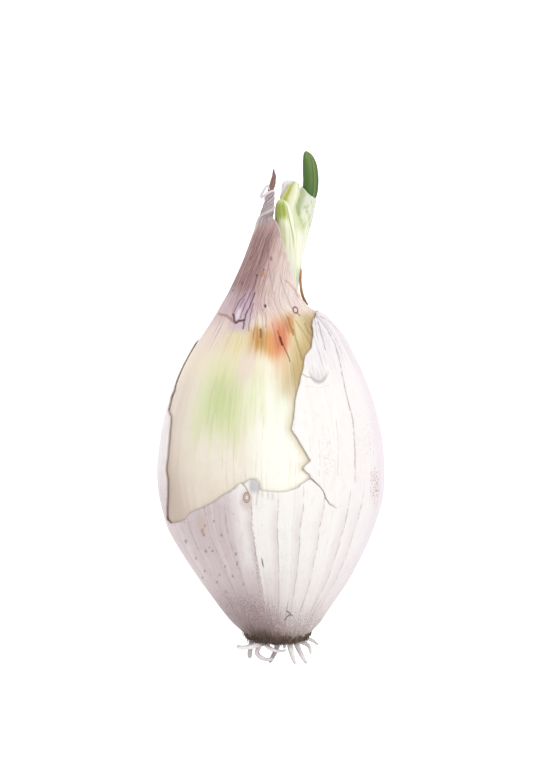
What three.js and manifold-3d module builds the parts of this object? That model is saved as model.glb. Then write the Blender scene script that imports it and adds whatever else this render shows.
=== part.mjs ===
// White onion that has begun to sprout, lying on its side.
//
// Frame (millimetres, +Z up): the bulb's axis runs along +Y, from the roots at
// -Y to the green leaf tip at +Y. The onion lies on the flattened patch that
// its own weight rests on, so z = 0 is the surface that it lies on and the
// torn window in its dry outer skin faces up.
//
// Pieces: the bulb (fleshy scale with its dried, split neck sleeve), the dry
// papery outer skin round it, the basal plate with eleven cut roots, the leaves
// of the young sprout in the neck, and the small dry scraps at the neck.

import * as THREE from 'three';
import Module from 'manifold-3d';

const wasm = await Module();
wasm.setup();

// ---------------------------------------------------------------- dimensions

const AXIS_HEIGHT = 31.6;       // height of the bulb's axis over the surface
const FLATTENING = 0.968;       // bulb depth (Z) over bulb width (X)
const SKIN_THICKNESS = 0.5;     // dry outer skin
const SKIN_GAP = 0.3;           // air between the outer skin and the bulb
const SLEEVE_THICKNESS = 0.6;   // dried neck sleeve
const CLEARANCE = 0.3;          // gap between touching pieces
const AROUND = 36;              // facets round the bulb

const SKIN_TOP_Y = 32.5;        // the outer skin's loft runs between these,
const SKIN_BOTTOM_Y = -69.9;    // before its rim and window are cut
const PLATE_RADIUS = 8.2;       // basal plate
const PLATE_TOP_Y = -68.25;
const PLATE_BOTTOM_Y = -70.2;
const PLATE_X = 1.9;            // centre of the basal plate
const BULB_BOTTOM_Y = -67.9;    // underside of the fleshy bulb
const POCKET_FLOOR_Y = 31.0;    // floor of the neck pocket the sprout grows from

// Silhouette of the bulb and neck, seen from above: [y, left x, right x].
const PROFILE = [
  [50.4, -5.97, 11.11], [48.0, -6.88, 10.6], [45.6, -7.75, 10.17],
  [43.2, -8.74, 9.81], [40.8, -9.81, 9.53], [38.4, -10.87, 9.34],
  [36.0, -12.05, 9.36], [33.6, -13.36, 9.69], [31.8, -14.4, 10.51],
  [30.3, -15.27, 11.85], [29.1, -15.96, 13.58], [27.9, -16.67, 15.67],
  [26.4, -17.6, 17.23], [24.6, -18.82, 19.05], [22.5, -20.32, 20.88],
  [20.1, -22.04, 22.63], [17.4, -23.89, 24.29], [14.4, -25.65, 25.92],
  [11.1, -27.28, 27.49], [7.5, -28.75, 28.96], [3.6, -30.15, 30.38],
  [-0.6, -31.42, 31.64], [-5.1, -32.49, 32.74], [-9.6, -33.24, 33.56],
  [-14.1, -33.82, 33.98], [-18.6, -34.18, 34.19], [-23.1, -33.94, 34.09],
  [-27.6, -33.28, 33.56], [-31.8, -32.23, 32.37], [-36.0, -30.91, 30.91],
  [-40.2, -28.72, 29.24], [-44.4, -26.14, 27.29], [-48.6, -23.35, 25.11],
  [-52.8, -20.46, 22.72], [-57.0, -17.36, 19.86], [-60.9, -14.48, 17.13],
  [-64.5, -11.48, 14.76], [-67.5, -8.75, 12.4], [-69.9, -7.1, 10.9],
];

// Neck sleeve: [y, left x, right x of its full oval, x of the front split edge].
const SLEEVE = [
  [54.4, -4.5, 12.4, 1.9], [51.5, -5.5, 11.5, 2.9], [48.0, -6.88, 10.6, 4.1],
  [44.4, -8.2, 10.0, 5.1], [40.8, -9.81, 9.6, 5.9], [37.4, -11.3, 9.4, 7.0],
  [34.0, -13.1, 9.6, 8.5], [30.2, -15.3, 11.9, 10.6], [28.0, -16.5, 14.5, 12.5],
];

// Twisted dry top of the sleeve: [y, x, z over the axis, half width, half depth].
const TWIST = [
  [47.0, -5.2, 3.4, 1.1, 1.4], [52.6, -3.4, 4.0, 1.9, 2.4],
  [56.0, -1.75, 4.1, 2.1, 2.2], [59.0, -1.05, 3.9, 1.75, 1.8],
  [62.0, -0.7, 3.7, 1.45, 1.5], [64.6, -0.35, 3.6, 1.2, 1.2],
];

// Rim of the outer skin round the back, as [x, y], left to right.
const BACK_RIM = [
  [-24.9, 17.4], [-20.5, 21.2], [-16.0, 23.4], [-11.0, 25.4], [-6.0, 26.2],
  [-1.0, 27.6], [4.0, 27.2], [9.0, 28.4], [14.0, 29.4],
];

// Edge of the torn window in the front of the outer skin, as [x, y].
const WINDOW = [
  [-24.9, 17.4], [-25.5, 15.0], [-27.9, 11.1], [-29.1, 5.4], [-30.3, 1.8],
  [-30.9, -0.6], [-30.0, -2.7], [-30.6, -9.6], [-31.2, -18.6],
  [-30.6, -21.6], [-30.9, -30.6], [-30.9, -33.6], [-30.0, -34.5],
  [-25.8, -33.3], [-24.3, -31.2], [-17.7, -28.2], [-13.8, -25.5],
  [-10.5, -21.9], [-8.4, -22.4], [-6.6, -21.2], [-4.8, -24.3], [-2.4, -24.3],
  [0.3, -24.9], [6.3, -24.3], [9.3, -21.6], [11.4, -20.1], [9.3, -17.7],
  [11.7, -15.6], [8.9, -10.7], [6.0, -5.7], [6.3, -5.1], [7.2, 2.4],
  [8.4, 6.9], [9.6, 11.4], [9.9, 15.6], [12.0, 18.0], [12.6, 21.9],
  [12.3, 26.4], [13.0, 29.2],
];

// Crack that runs on from the window's lower right corner, as [x, y, half width].
const CRACK = [
  [10.8, -20.3, 0.5], [14.1, -22.8, 0.45], [15.6, -24.6, 0.4],
  [16.2, -26.7, 0.32], [17.4, -28.5, 0.22], [19.4, -29.7, 0.08],
];

// Leaves of the sprout: [y, left x, right x, z over the axis, half depth].
const FRONT_SPROUT = [
  [62.5, 2.3, 3.9, 2.5, 0.4], [61.6, 1.7, 4.7, 2.6, 1.1],
  [60.3, 1.35, 5.3, 2.7, 1.5], [58.0, 1.25, 5.9, 2.8, 1.75],
  [55.0, 1.3, 6.5, 2.85, 1.85], [50.0, 0.9, 7.4, 2.9, 1.9],
  [45.0, 0.2, 7.7, 2.9, 1.9], [40.0, -0.8, 7.4, 2.8, 1.85],
  [35.0, -2.0, 6.9, 2.7, 1.7], [31.9, -2.4, 6.6, 2.6, 1.5],
];
const MIDDLE_SPROUT = [
  [67.8, 7.0, 7.9, -0.5, 0.25], [66.6, 5.3, 8.55, -0.45, 0.55],
  [65.0, 4.3, 8.7, -0.4, 0.75], [62.9, 3.0, 8.3, -0.3, 0.85],
  [60.2, 2.6, 7.4, -0.25, 0.9], [57.0, 1.8, 8.3, -0.2, 0.92],
  [53.0, 0.8, 9.7, -0.2, 0.92], [49.6, 0.2, 10.35, -0.2, 0.92],
  [45.5, 0.0, 9.5, -0.2, 0.92], [42.0, -0.6, 8.5, -0.2, 0.9],
  [37.0, -1.4, 8.0, -0.25, 0.85], [31.9, -2.0, 7.6, -0.3, 0.75],
];
const SHEATH = [
  [66.2, 9.1, 13.6, -3.35, 1.55], [63.0, 7.9, 13.55, -3.4, 1.85],
  [60.0, 7.0, 13.2, -3.4, 2.0], [57.0, 6.3, 12.6, -3.4, 2.0],
  [53.5, 5.0, 11.5, -3.4, 2.0], [50.0, 3.6, 10.5, -3.35, 1.95],
  [44.0, 1.6, 9.3, -3.3, 1.85], [38.0, 0.6, 8.4, -3.1, 1.7],
  [31.9, 0.2, 7.6, -2.9, 1.5],
];
const SHEATH_LIP = [
  [8.4, 66.6], [9.4, 65.8], [10.2, 64.4], [11.1, 63.7], [12.1, 63.2],
  [13.9, 62.0],
];
const GREEN_LEAF = [
  [77.2, 10.3, 10.8, -3.4, 0.2], [76.4, 9.75, 12.1, -3.4, 0.75],
  [74.6, 9.55, 13.2, -3.4, 1.1], [72.6, 9.5, 13.9, -3.4, 1.25],
  [70.0, 9.6, 14.15, -3.4, 1.3], [67.2, 9.55, 14.2, -3.4, 1.3],
  [65.2, 9.6, 13.9, -3.4, 1.25], [62.8, 9.3, 12.6, -3.4, 1.1],
  [59.6, 9.0, 11.6, -3.4, 0.9], [57.6, 9.2, 10.8, -3.4, 0.55],
];
const MEMBRANE = [
  [68.2, 4.4, 6.6, -1.75, 0.22], [67.0, 3.4, 7.6, -1.75, 0.25],
  [64.8, 2.95, 7.4, -1.75, 0.25], [62.0, 2.5, 6.6, -1.75, 0.25],
  [58.5, 2.0, 5.9, -1.75, 0.25], [55.0, 1.6, 4.6, -1.75, 0.22],
];

// Dry scraps at the neck.
const SPIKE = [
  [71.9, 0.85, 1.0, 3.6, 0.12], [69.3, 0.2, 1.45, 3.6, 0.4],
  [67.0, -0.5, 1.25, 3.6, 0.5], [65.1, -0.95, 0.75, 3.6, 0.55],
];
const SLIVER = [
  [42.0, 8.75, 8.95, 1.5, 0.15], [40.0, 8.5, 9.3, 1.5, 0.22],
  [37.5, 8.5, 9.3, 1.5, 0.22], [34.6, 8.9, 9.75, 1.3, 0.22],
  [32.8, 9.9, 10.6, 1.2, 0.2],
];
const RIBBON_PATH = [
  [-1.0, 66.5, 5.6], [-1.8, 65.3, 5.7], [-2.6, 64.1, 5.6], [-2.9, 63.2, 5.4],
];
const RIBBON_WIDTH = 0.9;
const RIBBON_THICKNESS = 0.5;

// Roots: points along each one as [x, y, z over the axis], then its radius.
const ROOTS = [
  { path: [[-3.0, -71.3, 5.0], [-5.8, -71.4, 6.3], [-8.4, -71.65, 6.8], [-10.2, -71.3, 6.5]], r: 0.9 },
  { path: [[-5.9, -70.35, 0.2], [-6.15, -71.8, 0.3], [-6.35, -73.4, 0.4], [-6.4, -75.1, 0.4]], r: 0.8 },
  { path: [[-3.0, -70.65, 1.9], [-3.7, -72.0, 2.3], [-4.1, -73.4, 2.8], [-3.0, -74.8, 3.2], [-0.8, -75.4, 3.4], [1.0, -74.9, 3.2]], r: 0.75 },
  { path: [[-1.0, -70.8, 5.4], [-0.2, -71.7, 6.2], [1.0, -72.4, 6.9], [2.6, -72.7, 7.0], [4.5, -72.4, 6.8]], r: 0.7 },
  { path: [[2.2, -70.65, -1.2], [1.6, -72.4, -1.7], [0.6, -74.5, -2.0], [-0.6, -76.5, -2.1]], r: 0.85 },
  { path: [[3.9, -70.7, 2.5], [4.0, -71.4, 3.0], [3.9, -72.2, 3.3]], r: 0.6 },
  { path: [[5.6, -70.7, 3.9], [6.1, -72.9, 4.6], [6.6, -75.0, 5.0], [7.0, -76.7, 5.0]], r: 0.95 },
  { path: [[7.6, -70.8, 1.6], [8.5, -72.9, 2.4], [9.7, -75.2, 2.9], [10.6, -76.5, 2.7]], r: 0.9 },
  { path: [[8.0, -71.1, -1.6], [10.3, -71.2, -1.2], [11.6, -72.3, -0.9], [11.9, -73.9, -0.8]], r: 0.75 },
  { path: [[8.3, -71.1, -4.4], [11.0, -70.85, -4.9], [12.8, -70.85, -5.0], [14.1, -71.3, -4.9]], r: 0.7 },
  { path: [[2.0, -70.7, -5.2], [1.5, -72.9, -6.2], [0.6, -74.8, -6.8]], r: 0.7 },
];

// ------------------------------------------------------------------- helpers

function profileAt(y) {
  const t = PROFILE;
  if (y >= t[0][0]) return [t[0][1], t[0][2]];
  for (let i = 0; i < t.length - 1; i += 1) {
    if (y <= t[i][0] && y >= t[i + 1][0]) {
      const f = (t[i][0] - y) / (t[i][0] - t[i + 1][0]);
      return [t[i][1] + f * (t[i + 1][1] - t[i][1]), t[i][2] + f * (t[i + 1][2] - t[i][2])];
    }
  }
  const last = t[t.length - 1];
  return [last[1], last[2]];
}

// One ring round the bulb at station y, pulled in by `inset`, kept over `floor`.
function bulbRing(y, inset, floor) {
  const [xl, xr] = profileAt(y);
  const cx = (xl + xr) / 2;
  const a = (xr - xl) / 2;
  const ring = [];
  for (let i = 0; i < AROUND; i += 1) {
    const t = (i / AROUND) * Math.PI * 2;
    const x = cx + (a - inset) * Math.cos(t);
    const z = AXIS_HEIGHT + (a * FLATTENING - inset) * Math.sin(t);
    ring.push(new THREE.Vector3(x, y, Math.max(z, floor)));
  }
  return ring;
}

// Closed loft through rings of the same length. Rings run anticlockwise seen
// from +Y looking to -Y, and stations go from high y to low y.
function loft(rings, strip = false) {
  const n = rings[0].length;
  const position = [];
  const index = [];
  for (const ring of rings) for (const p of ring) position.push(p.x, p.y, p.z);
  for (let r = 0; r < rings.length - 1; r += 1) {
    for (let i = 0; i < n; i += 1) {
      const j = (i + 1) % n;
      const a = r * n + i;
      const b = r * n + j;
      const c = (r + 1) * n + i;
      const d = (r + 1) * n + j;
      index.push(a, b, c, b, d, c);
    }
  }
  const cap = (start, flip) => {
    const tri = (a, b, c) => (flip ? index.push(a, c, b) : index.push(a, b, c));
    if (strip) {
      // the ring is an outer run followed by an inner run back
      const half = n / 2;
      for (let i = 0; i < half - 1; i += 1) {
        const o0 = start + i;
        const o1 = start + i + 1;
        const i0 = start + n - 1 - i;
        const i1 = start + n - 2 - i;
        tri(o0, i0, o1);
        tri(o1, i0, i1);
      }
      return;
    }
    const centre = position.length / 3;
    let x = 0;
    let y = 0;
    let z = 0;
    for (let i = 0; i < n; i += 1) {
      x += position[(start + i) * 3] / n;
      y += position[(start + i) * 3 + 1] / n;
      z += position[(start + i) * 3 + 2] / n;
    }
    position.push(x, y, z);
    for (let i = 0; i < n; i += 1) tri(start + i, centre, start + ((i + 1) % n));
  };
  cap(0, false);
  cap((rings.length - 1) * n, true);
  const g = new THREE.BufferGeometry();
  g.setAttribute('position', new THREE.Float32BufferAttribute(position, 3));
  g.setIndex(index);
  return g;
}

function toSolid(geometry) {
  const solid = new wasm.Manifold(new wasm.Mesh({
    numProp: 3,
    vertProperties: new Float32Array(geometry.getAttribute('position').array),
    triVerts: new Uint32Array(geometry.getIndex().array),
  }));
  if (solid.volume() > 0) return solid;
  const idx = Array.from(geometry.getIndex().array);
  for (let i = 0; i < idx.length; i += 3) [idx[i + 1], idx[i + 2]] = [idx[i + 2], idx[i + 1]];
  return new wasm.Manifold(new wasm.Mesh({
    numProp: 3,
    vertProperties: new Float32Array(geometry.getAttribute('position').array),
    triVerts: new Uint32Array(idx),
  }));
}

function toGeometry(solid) {
  const m = solid.getMesh();
  const g = new THREE.BufferGeometry();
  g.setAttribute('position', new THREE.Float32BufferAttribute(Array.from(m.vertProperties), 3));
  g.setIndex(Array.from(m.triVerts));
  return g;
}

// The largest of a solid's separate lumps, so that a cut leaves no crumbs.
function mainLump(solid) {
  const lumps = solid.decompose();
  let best = lumps[0];
  for (const lump of lumps) if (lump.volume() > best.volume()) best = lump;
  return best;
}

// Flattened tapering body through stations [y, left x, right x, z, half depth].
function leafRings(table, sides, grow = 0) {
  return table.map(([y, xl, xr, z, h]) => {
    const ring = [];
    for (let i = 0; i < sides; i += 1) {
      const t = (i / sides) * Math.PI * 2;
      ring.push(new THREE.Vector3(
        (xl + xr) / 2 + ((xr - xl) / 2 + grow) * Math.cos(t),
        y,
        AXIS_HEIGHT + z + (h + grow) * Math.sin(t),
      ));
    }
    return ring;
  });
}

// Right prism on an outline of [x, y] points, from z0 to z1.
function prism(points, z0, z1) {
  const shape = new THREE.Shape(points.map(([x, y]) => new THREE.Vector2(x, y)));
  const g = new THREE.ExtrudeGeometry(shape, { depth: z1 - z0, bevelEnabled: false });
  g.translate(0, 0, z0);
  g.deleteAttribute('normal');
  g.deleteAttribute('uv');
  return toSolid(weld(g));
}

// Merge the shared vertices of a geometry that holds only positions.
function weld(geometry) {
  const src = geometry.getAttribute('position');
  const idx = geometry.getIndex();
  const count = idx ? idx.count : src.count;
  const seen = new Map();
  const position = [];
  const index = [];
  for (let i = 0; i < count; i += 1) {
    const v = idx ? idx.getX(i) : i;
    const key = [src.getX(v), src.getY(v), src.getZ(v)].map((c) => Math.round(c * 1e4)).join(',');
    if (!seen.has(key)) {
      seen.set(key, position.length / 3);
      position.push(src.getX(v), src.getY(v), src.getZ(v));
    }
    index.push(seen.get(key));
  }
  const g = new THREE.BufferGeometry();
  g.setAttribute('position', new THREE.Float32BufferAttribute(position, 3));
  g.setIndex(index);
  return g;
}

// Tapering round body along a curve, rounded at its far end.
function taperedTube(points, radius, sides, steps) {
  const curve = new THREE.CatmullRomCurve3(points.map(([x, y, z]) => new THREE.Vector3(x, y, AXIS_HEIGHT + z)));
  const frames = curve.computeFrenetFrames(steps, false);
  const rings = [];
  for (let s = 0; s <= steps; s += 1) {
    const u = s / steps;
    const p = curve.getPointAt(u);
    const r = radius * (1 - 0.18 * u) * (u > 0.999 ? 0.42 : 1);
    const ring = [];
    for (let i = 0; i < sides; i += 1) {
      const t = (i / sides) * Math.PI * 2;
      ring.push(p.clone()
        .addScaledVector(frames.normals[s], r * Math.cos(t))
        .addScaledVector(frames.binormals[s], r * Math.sin(t)));
    }
    rings.push(ring);
  }
  return rings;
}

const onion = new THREE.Group();
onion.name = 'white_onion';

function add(name, geometry, colour, roughness) {
  const material = new THREE.MeshStandardMaterial({ color: colour, roughness, metalness: 0 });
  const mesh = new THREE.Mesh(geometry, material);
  mesh.name = name;
  onion.add(mesh);
}

// --------------------------------------------------------------------- bulb

// Fleshy bulb: follows the outer skin a fixed distance inside it.
const inside = SKIN_THICKNESS + SKIN_GAP;
const stations = PROFILE.map((row) => row[0]);
const bulbStations = stations.filter((y) => y <= POCKET_FLOOR_Y && y > BULB_BOTTOM_Y);
bulbStations.unshift(POCKET_FLOOR_Y);
bulbStations.push(BULB_BOTTOM_Y);
const insetAt = (y) => inside * THREE.MathUtils.smoothstep(-y, -26.4, -14.4);
const bulbBody = toSolid(loft(bulbStations.map((y) => bulbRing(y, insetAt(y), inside + 0.02))));

// Neck sleeve: an oval wall split open on its right, growing out of the bulb.
const SLEEVE_SIDES = 22;
function sleeveRing([y, xl, xr, edge]) {
  const cx = (xl + xr) / 2;
  const a = (xr - xl) / 2;
  const b = a * 0.97;
  const split = Math.acos(Math.min(0.985, (edge - cx) / a));
  const ring = [];
  for (let i = 0; i < SLEEVE_SIDES; i += 1) {
    const t = split + (i / (SLEEVE_SIDES - 1)) * (Math.PI * 2 - 2 * split);
    ring.push(new THREE.Vector3(cx + a * Math.cos(t), y, AXIS_HEIGHT + b * Math.sin(t)));
  }
  for (let i = SLEEVE_SIDES - 1; i >= 0; i -= 1) {
    const t = split + (i / (SLEEVE_SIDES - 1)) * (Math.PI * 2 - 2 * split);
    ring.push(new THREE.Vector3(
      cx + (a - SLEEVE_THICKNESS) * Math.cos(t),
      y,
      AXIS_HEIGHT + (b - SLEEVE_THICKNESS) * Math.sin(t),
    ));
  }
  return ring;
}
const sleeve = toSolid(loft(SLEEVE.map(sleeveRing), true));

// The sleeve's dry top gathers into one twisted strand.
const twist = toSolid(loft(TWIST.map(([y, x, z, w, h], k) => {
  const ring = [];
  for (let i = 0; i < 10; i += 1) {
    const t = (i / 10) * Math.PI * 2 + k * 0.25;
    ring.push(new THREE.Vector3(x + w * Math.cos(t), y, AXIS_HEIGHT + z + h * Math.sin(t)));
  }
  return ring;
})));
add('bulb', toGeometry(mainLump(bulbBody.add(sleeve).add(twist))), 0xf3eedb, 0.5);

// --------------------------------------------------------------- outer skin

const skinStations = stations.filter((y) => y < SKIN_TOP_Y && y > SKIN_BOTTOM_Y);
skinStations.unshift(SKIN_TOP_Y);
skinStations.push(SKIN_BOTTOM_Y);
const skinInset = (y) => insetAt(y) - inside;
const skinOuter = toSolid(loft(skinStations.map((y) => bulbRing(y, skinInset(y), 0))));
const coreStations = skinStations.slice();
coreStations[0] += 1;
coreStations[coreStations.length - 1] -= 1;
const skinInner = toSolid(loft(coreStations.map((y) => bulbRing(y, skinInset(y) + SKIN_THICKNESS, SKIN_THICKNESS))));
const backCut = prism([
  ...BACK_RIM, [40, 29.4], [40, 60], [-40, 60], [-40, 17.4],
], -5, AXIS_HEIGHT + 0.01);
const frontCut = prism([
  ...WINDOW, [14.0, 29.4], [40, 29.4], [40, 60], [-40, 60], [-40, 17.4],
], AXIS_HEIGHT, AXIS_HEIGHT + 60);
const crackOutline = [
  ...CRACK.map(([x, y, w]) => [x + w * 0.7, y + w * 0.7]),
  ...CRACK.slice().reverse().map(([x, y, w]) => [x - w * 0.7, y - w * 0.7]),
];
const crackCut = prism(crackOutline, AXIS_HEIGHT, AXIS_HEIGHT + 60);
add('outer_skin', toGeometry(mainLump(
  skinOuter.subtract(skinInner).subtract(backCut).subtract(frontCut).subtract(crackCut),
)), 0xf4eeec, 0.55);

// ------------------------------------------------------------- sprout leaves

add('sprout_front', loft(leafRings(FRONT_SPROUT, 14)), 0xdfe6b4, 0.4);
add('sprout_middle', loft(leafRings(MIDDLE_SPROUT, 14)), 0xe6ecc0, 0.4);
add('sprout_membrane', loft(leafRings(MEMBRANE, 10)), 0xe6dfe6, 0.5);

// The right-hand sheath is hollow where its own green blade grows out of it.
const sheathBody = toSolid(loft(leafRings(SHEATH, 14)));
const leafPocket = toSolid(loft(leafRings(GREEN_LEAF, 14, CLEARANCE + 0.02).map((ring, i, all) => {
  if (i === all.length - 1) ring.forEach((p) => { p.y -= CLEARANCE; });
  return ring;
})));
const lipCut = prism([...SHEATH_LIP, [20, 62.0], [20, 80], [8.4, 80]], 0, AXIS_HEIGHT + 40);
add('sprout_sheath', toGeometry(mainLump(sheathBody.subtract(lipCut).subtract(leafPocket))), 0xe3edd2, 0.4);
add('green_leaf', loft(leafRings(GREEN_LEAF, 14)), 0x6f9a45, 0.38);

// ---------------------------------------------------------- scraps at the neck

add('neck_spike', loft(leafRings(SPIKE, 8)), 0x9a6a58, 0.7);
add('skin_sliver', loft(leafRings(SLIVER, 8)), 0xb98e62, 0.7);
const ribbonCurve = new THREE.CatmullRomCurve3(RIBBON_PATH.map(([x, y, z]) => new THREE.Vector3(x, y, AXIS_HEIGHT + z)));
const ribbonShape = new THREE.Shape([
  new THREE.Vector2(-RIBBON_THICKNESS / 2, -RIBBON_WIDTH / 2),
  new THREE.Vector2(RIBBON_THICKNESS / 2, -RIBBON_WIDTH / 2),
  new THREE.Vector2(RIBBON_THICKNESS / 2, RIBBON_WIDTH / 2),
  new THREE.Vector2(-RIBBON_THICKNESS / 2, RIBBON_WIDTH / 2),
]);
const ribbon = new THREE.ExtrudeGeometry(ribbonShape, { steps: 6, extrudePath: ribbonCurve, bevelEnabled: false });
ribbon.deleteAttribute('normal');
ribbon.deleteAttribute('uv');
add('neck_ribbon', weld(ribbon), 0xf2ecf0, 0.6);

// ------------------------------------------------------ basal plate and roots

const plate = [];
for (const [y, r] of [[PLATE_TOP_Y, PLATE_RADIUS - 0.6], [PLATE_TOP_Y - 0.7, PLATE_RADIUS], [PLATE_BOTTOM_Y + 0.7, PLATE_RADIUS - 0.2], [PLATE_BOTTOM_Y, PLATE_RADIUS - 0.5]]) {
  const ring = [];
  for (let i = 0; i < 24; i += 1) {
    const t = (i / 24) * Math.PI * 2;
    ring.push(new THREE.Vector3(PLATE_X + r * Math.cos(t), y, AXIS_HEIGHT + r * FLATTENING * Math.sin(t)));
  }
  plate.push(ring);
}
add('basal_plate', loft(plate), 0x5f4a40, 0.9);

ROOTS.forEach(({ path, r }, k) => {
  const rings = taperedTube(path, r, 8, 7);
  const geometry = loft(rings);
  add(`root_${String(k + 1).padStart(2, '0')}`, toGeometry(toSolid(geometry)), 0xe3dadb, 0.55);
});

export default onion;
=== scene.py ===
import math
import random
import bpy
import numpy as np
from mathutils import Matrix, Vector, geometry as mgeo


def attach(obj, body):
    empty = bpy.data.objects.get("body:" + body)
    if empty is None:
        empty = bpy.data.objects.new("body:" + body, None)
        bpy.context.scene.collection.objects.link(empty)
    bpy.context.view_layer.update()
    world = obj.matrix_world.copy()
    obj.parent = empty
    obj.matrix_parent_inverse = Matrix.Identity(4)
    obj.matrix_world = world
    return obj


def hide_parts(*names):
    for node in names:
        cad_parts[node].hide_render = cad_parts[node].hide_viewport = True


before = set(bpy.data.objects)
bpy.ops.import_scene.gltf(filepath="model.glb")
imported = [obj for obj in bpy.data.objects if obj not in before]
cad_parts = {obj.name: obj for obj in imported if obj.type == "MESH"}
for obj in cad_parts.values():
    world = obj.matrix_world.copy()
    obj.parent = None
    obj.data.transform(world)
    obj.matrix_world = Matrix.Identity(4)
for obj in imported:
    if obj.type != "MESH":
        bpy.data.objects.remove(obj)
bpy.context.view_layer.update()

# ------------------------------------------------------------------ constants
# All lengths here are millimetres, in the row frame; meshes are written in metres.
ZC = 31.6            # height of the bulb's axis
FLAT = 0.968         # bulb depth over width
TAU = 2 * math.pi
RNG = np.random.default_rng(20260713)

PROFILE = [
    (50.4, -5.97, 11.11), (48.0, -6.88, 10.6), (45.6, -7.75, 10.17), (43.2, -8.74, 9.81), (40.8, -9.81, 9.53),
    (38.4, -10.87, 9.34), (36.0, -12.05, 9.36), (33.6, -13.36, 9.69), (31.8, -14.4, 10.51), (30.3, -15.27, 11.85),
    (29.1, -15.96, 13.58), (27.9, -16.67, 15.67), (26.4, -17.6, 17.23), (24.6, -18.82, 19.05), (22.5, -20.32, 20.88),
    (20.1, -22.04, 22.63), (17.4, -23.89, 24.29), (14.4, -25.65, 25.92), (11.1, -27.28, 27.49), (7.5, -28.75, 28.96),
    (3.6, -30.15, 30.38), (-0.6, -31.42, 31.64), (-5.1, -32.49, 32.74), (-9.6, -33.24, 33.56), (-14.1, -33.82, 33.98),
    (-18.6, -34.18, 34.19), (-23.1, -33.94, 34.09), (-27.6, -33.28, 33.56), (-31.8, -32.23, 32.37), (-36.0, -30.91, 30.91),
    (-40.2, -28.72, 29.24), (-44.4, -26.14, 27.29), (-48.6, -23.35, 25.11), (-52.8, -20.46, 22.72), (-57.0, -17.36, 19.86),
    (-60.9, -14.48, 17.13), (-64.5, -11.48, 14.76), (-67.5, -8.75, 12.4), (-69.9, -7.1, 10.9),
]
# neck sleeve above the shoulder: y, left x, right x of its full oval, angle of the split's edge (degrees)
SLEEVE = [
    (29.3, -15.85, 13.3, 0.0), (30.3, -15.27, 11.85, 13.0), (31.8, -14.4, 10.7, 19.0), (34.0, -13.1, 9.7, 26.0),
    (37.4, -11.4, 9.5, 40.0), (40.8, -9.81, 9.6, 51.8), (44.4, -8.25, 10.0, 62.5), (48.0, -6.88, 10.6, 75.1),
    (51.5, -5.6, 11.4, 90.7), (54.4, -4.45, 12.3, 104.0), (58.0, -3.4, 13.2, 112.0), (65.0, -1.8, 14.0, 120.0),
]
# twisted strand: y, centre x, centre z over the axis, half width, half depth
STRAND = [
    (44.0, -4.2, 2.6, 2.4, 3.4), (50.0, -3.1, 3.3, 2.6, 3.0), (54.4, -1.85, 3.9, 2.7, 2.5), (57.0, -1.5, 4.0, 2.2, 2.2),
    (59.0, -1.0, 3.9, 1.95, 1.95), (61.0, -0.72, 3.8, 1.62, 1.65), (63.0, -0.42, 3.7, 1.36, 1.4), (64.6, -0.22, 3.6, 1.26, 1.25),
]
BACK_RIM = [
    (-24.9, 17.4), (-22.8, 19.6), (-20.5, 21.2), (-18.4, 22.9), (-16.0, 23.4), (-13.2, 24.9), (-11.0, 25.4), (-8.6, 26.6),
    (-6.0, 26.2), (-3.6, 26.6), (-1.0, 27.6), (1.4, 26.9), (4.0, 27.2), (6.4, 28.1), (9.0, 28.4), (11.2, 28.2), (14.0, 29.4),
]
WINDOW_LOW = [
    (-24.9, 17.4), (-25.2, 16.2), (-25.5, 15.0), (-26.7, 12.9), (-27.9, 11.1), (-28.5, 8.4), (-29.1, 5.4), (-30.0, 3.3),
    (-30.3, 1.8), (-30.9, -0.6), (-30.0, -2.7), (-30.15, -5.1), (-30.6, -9.6), (-31.0, -14.1), (-31.4, -18.6),
    (-30.9, -21.6), (-31.0, -26.1), (-31.2, -30.6), (-31.2, -33.2), (-30.0, -34.5), (-27.9, -34.05), (-25.8, -33.3),
    (-25.2, -32.1), (-24.3, -31.2), (-21.0, -29.7), (-17.7, -28.2), (-15.6, -26.85), (-13.8, -25.5), (-12.2, -24.9),
    (-10.8, -23.7), (-9.7, -22.3), (-8.9, -21.9), (-8.1, -22.2), (-7.4, -21.7), (-6.6, -21.1), (-5.6, -20.75), (-4.6, -20.9),
    (-3.7, -21.6), (-3.25, -22.5), (-3.3, -23.6), (-2.8, -24.4), (-1.05, -24.6), (1.95, -24.85), (4.95, -24.5), (7.2, -23.8),
    (8.3, -23.3), (9.0, -22.2), (9.8, -21.9), (11.3, -20.7),
]
CRACK = [(11.7, -20.7), (14.1, -22.8), (15.6, -24.6), (16.2, -26.7), (17.4, -28.5), (19.5, -29.7)]
WINDOW_RIGHT = [
    (11.5, -19.7), (10.65, -18.95), (9.45, -17.85), (10.5, -16.65), (11.7, -15.6), (9.9, -12.3), (7.8, -8.7), (6.0, -6.15),
    (6.3, -4.95), (6.9, -1.2), (7.2, 2.4), (7.8, 4.8), (8.4, 6.9), (9.0, 9.3), (9.6, 11.4), (9.75, 13.8), (10.05, 15.6),
    (11.1, 16.95), (12.0, 18.0), (12.18, 20.1), (12.6, 21.9), (12.3, 24.6), (12.45, 26.4), (13.2, 28.6), (14.0, 29.4),
]
FRONT_SPROUT = [
    (62.55, 2.75, 3.4, 2.5, 0.25), (62.3, 2.2, 4.0, 2.5, 0.7), (61.6, 1.7, 4.75, 2.6, 1.1), (60.3, 1.35, 5.4, 2.7, 1.5),
    (58.0, 1.2, 6.05, 2.8, 1.75), (55.0, 1.2, 6.7, 2.85, 1.85), (50.0, 0.9, 7.6, 2.9, 1.9), (45.0, 0.2, 7.9, 2.9, 1.9),
    (40.0, -0.8, 7.6, 2.8, 1.85), (35.0, -2.0, 7.0, 2.7, 1.7), (31.9, -2.4, 6.6, 2.6, 1.5),
]
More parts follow.
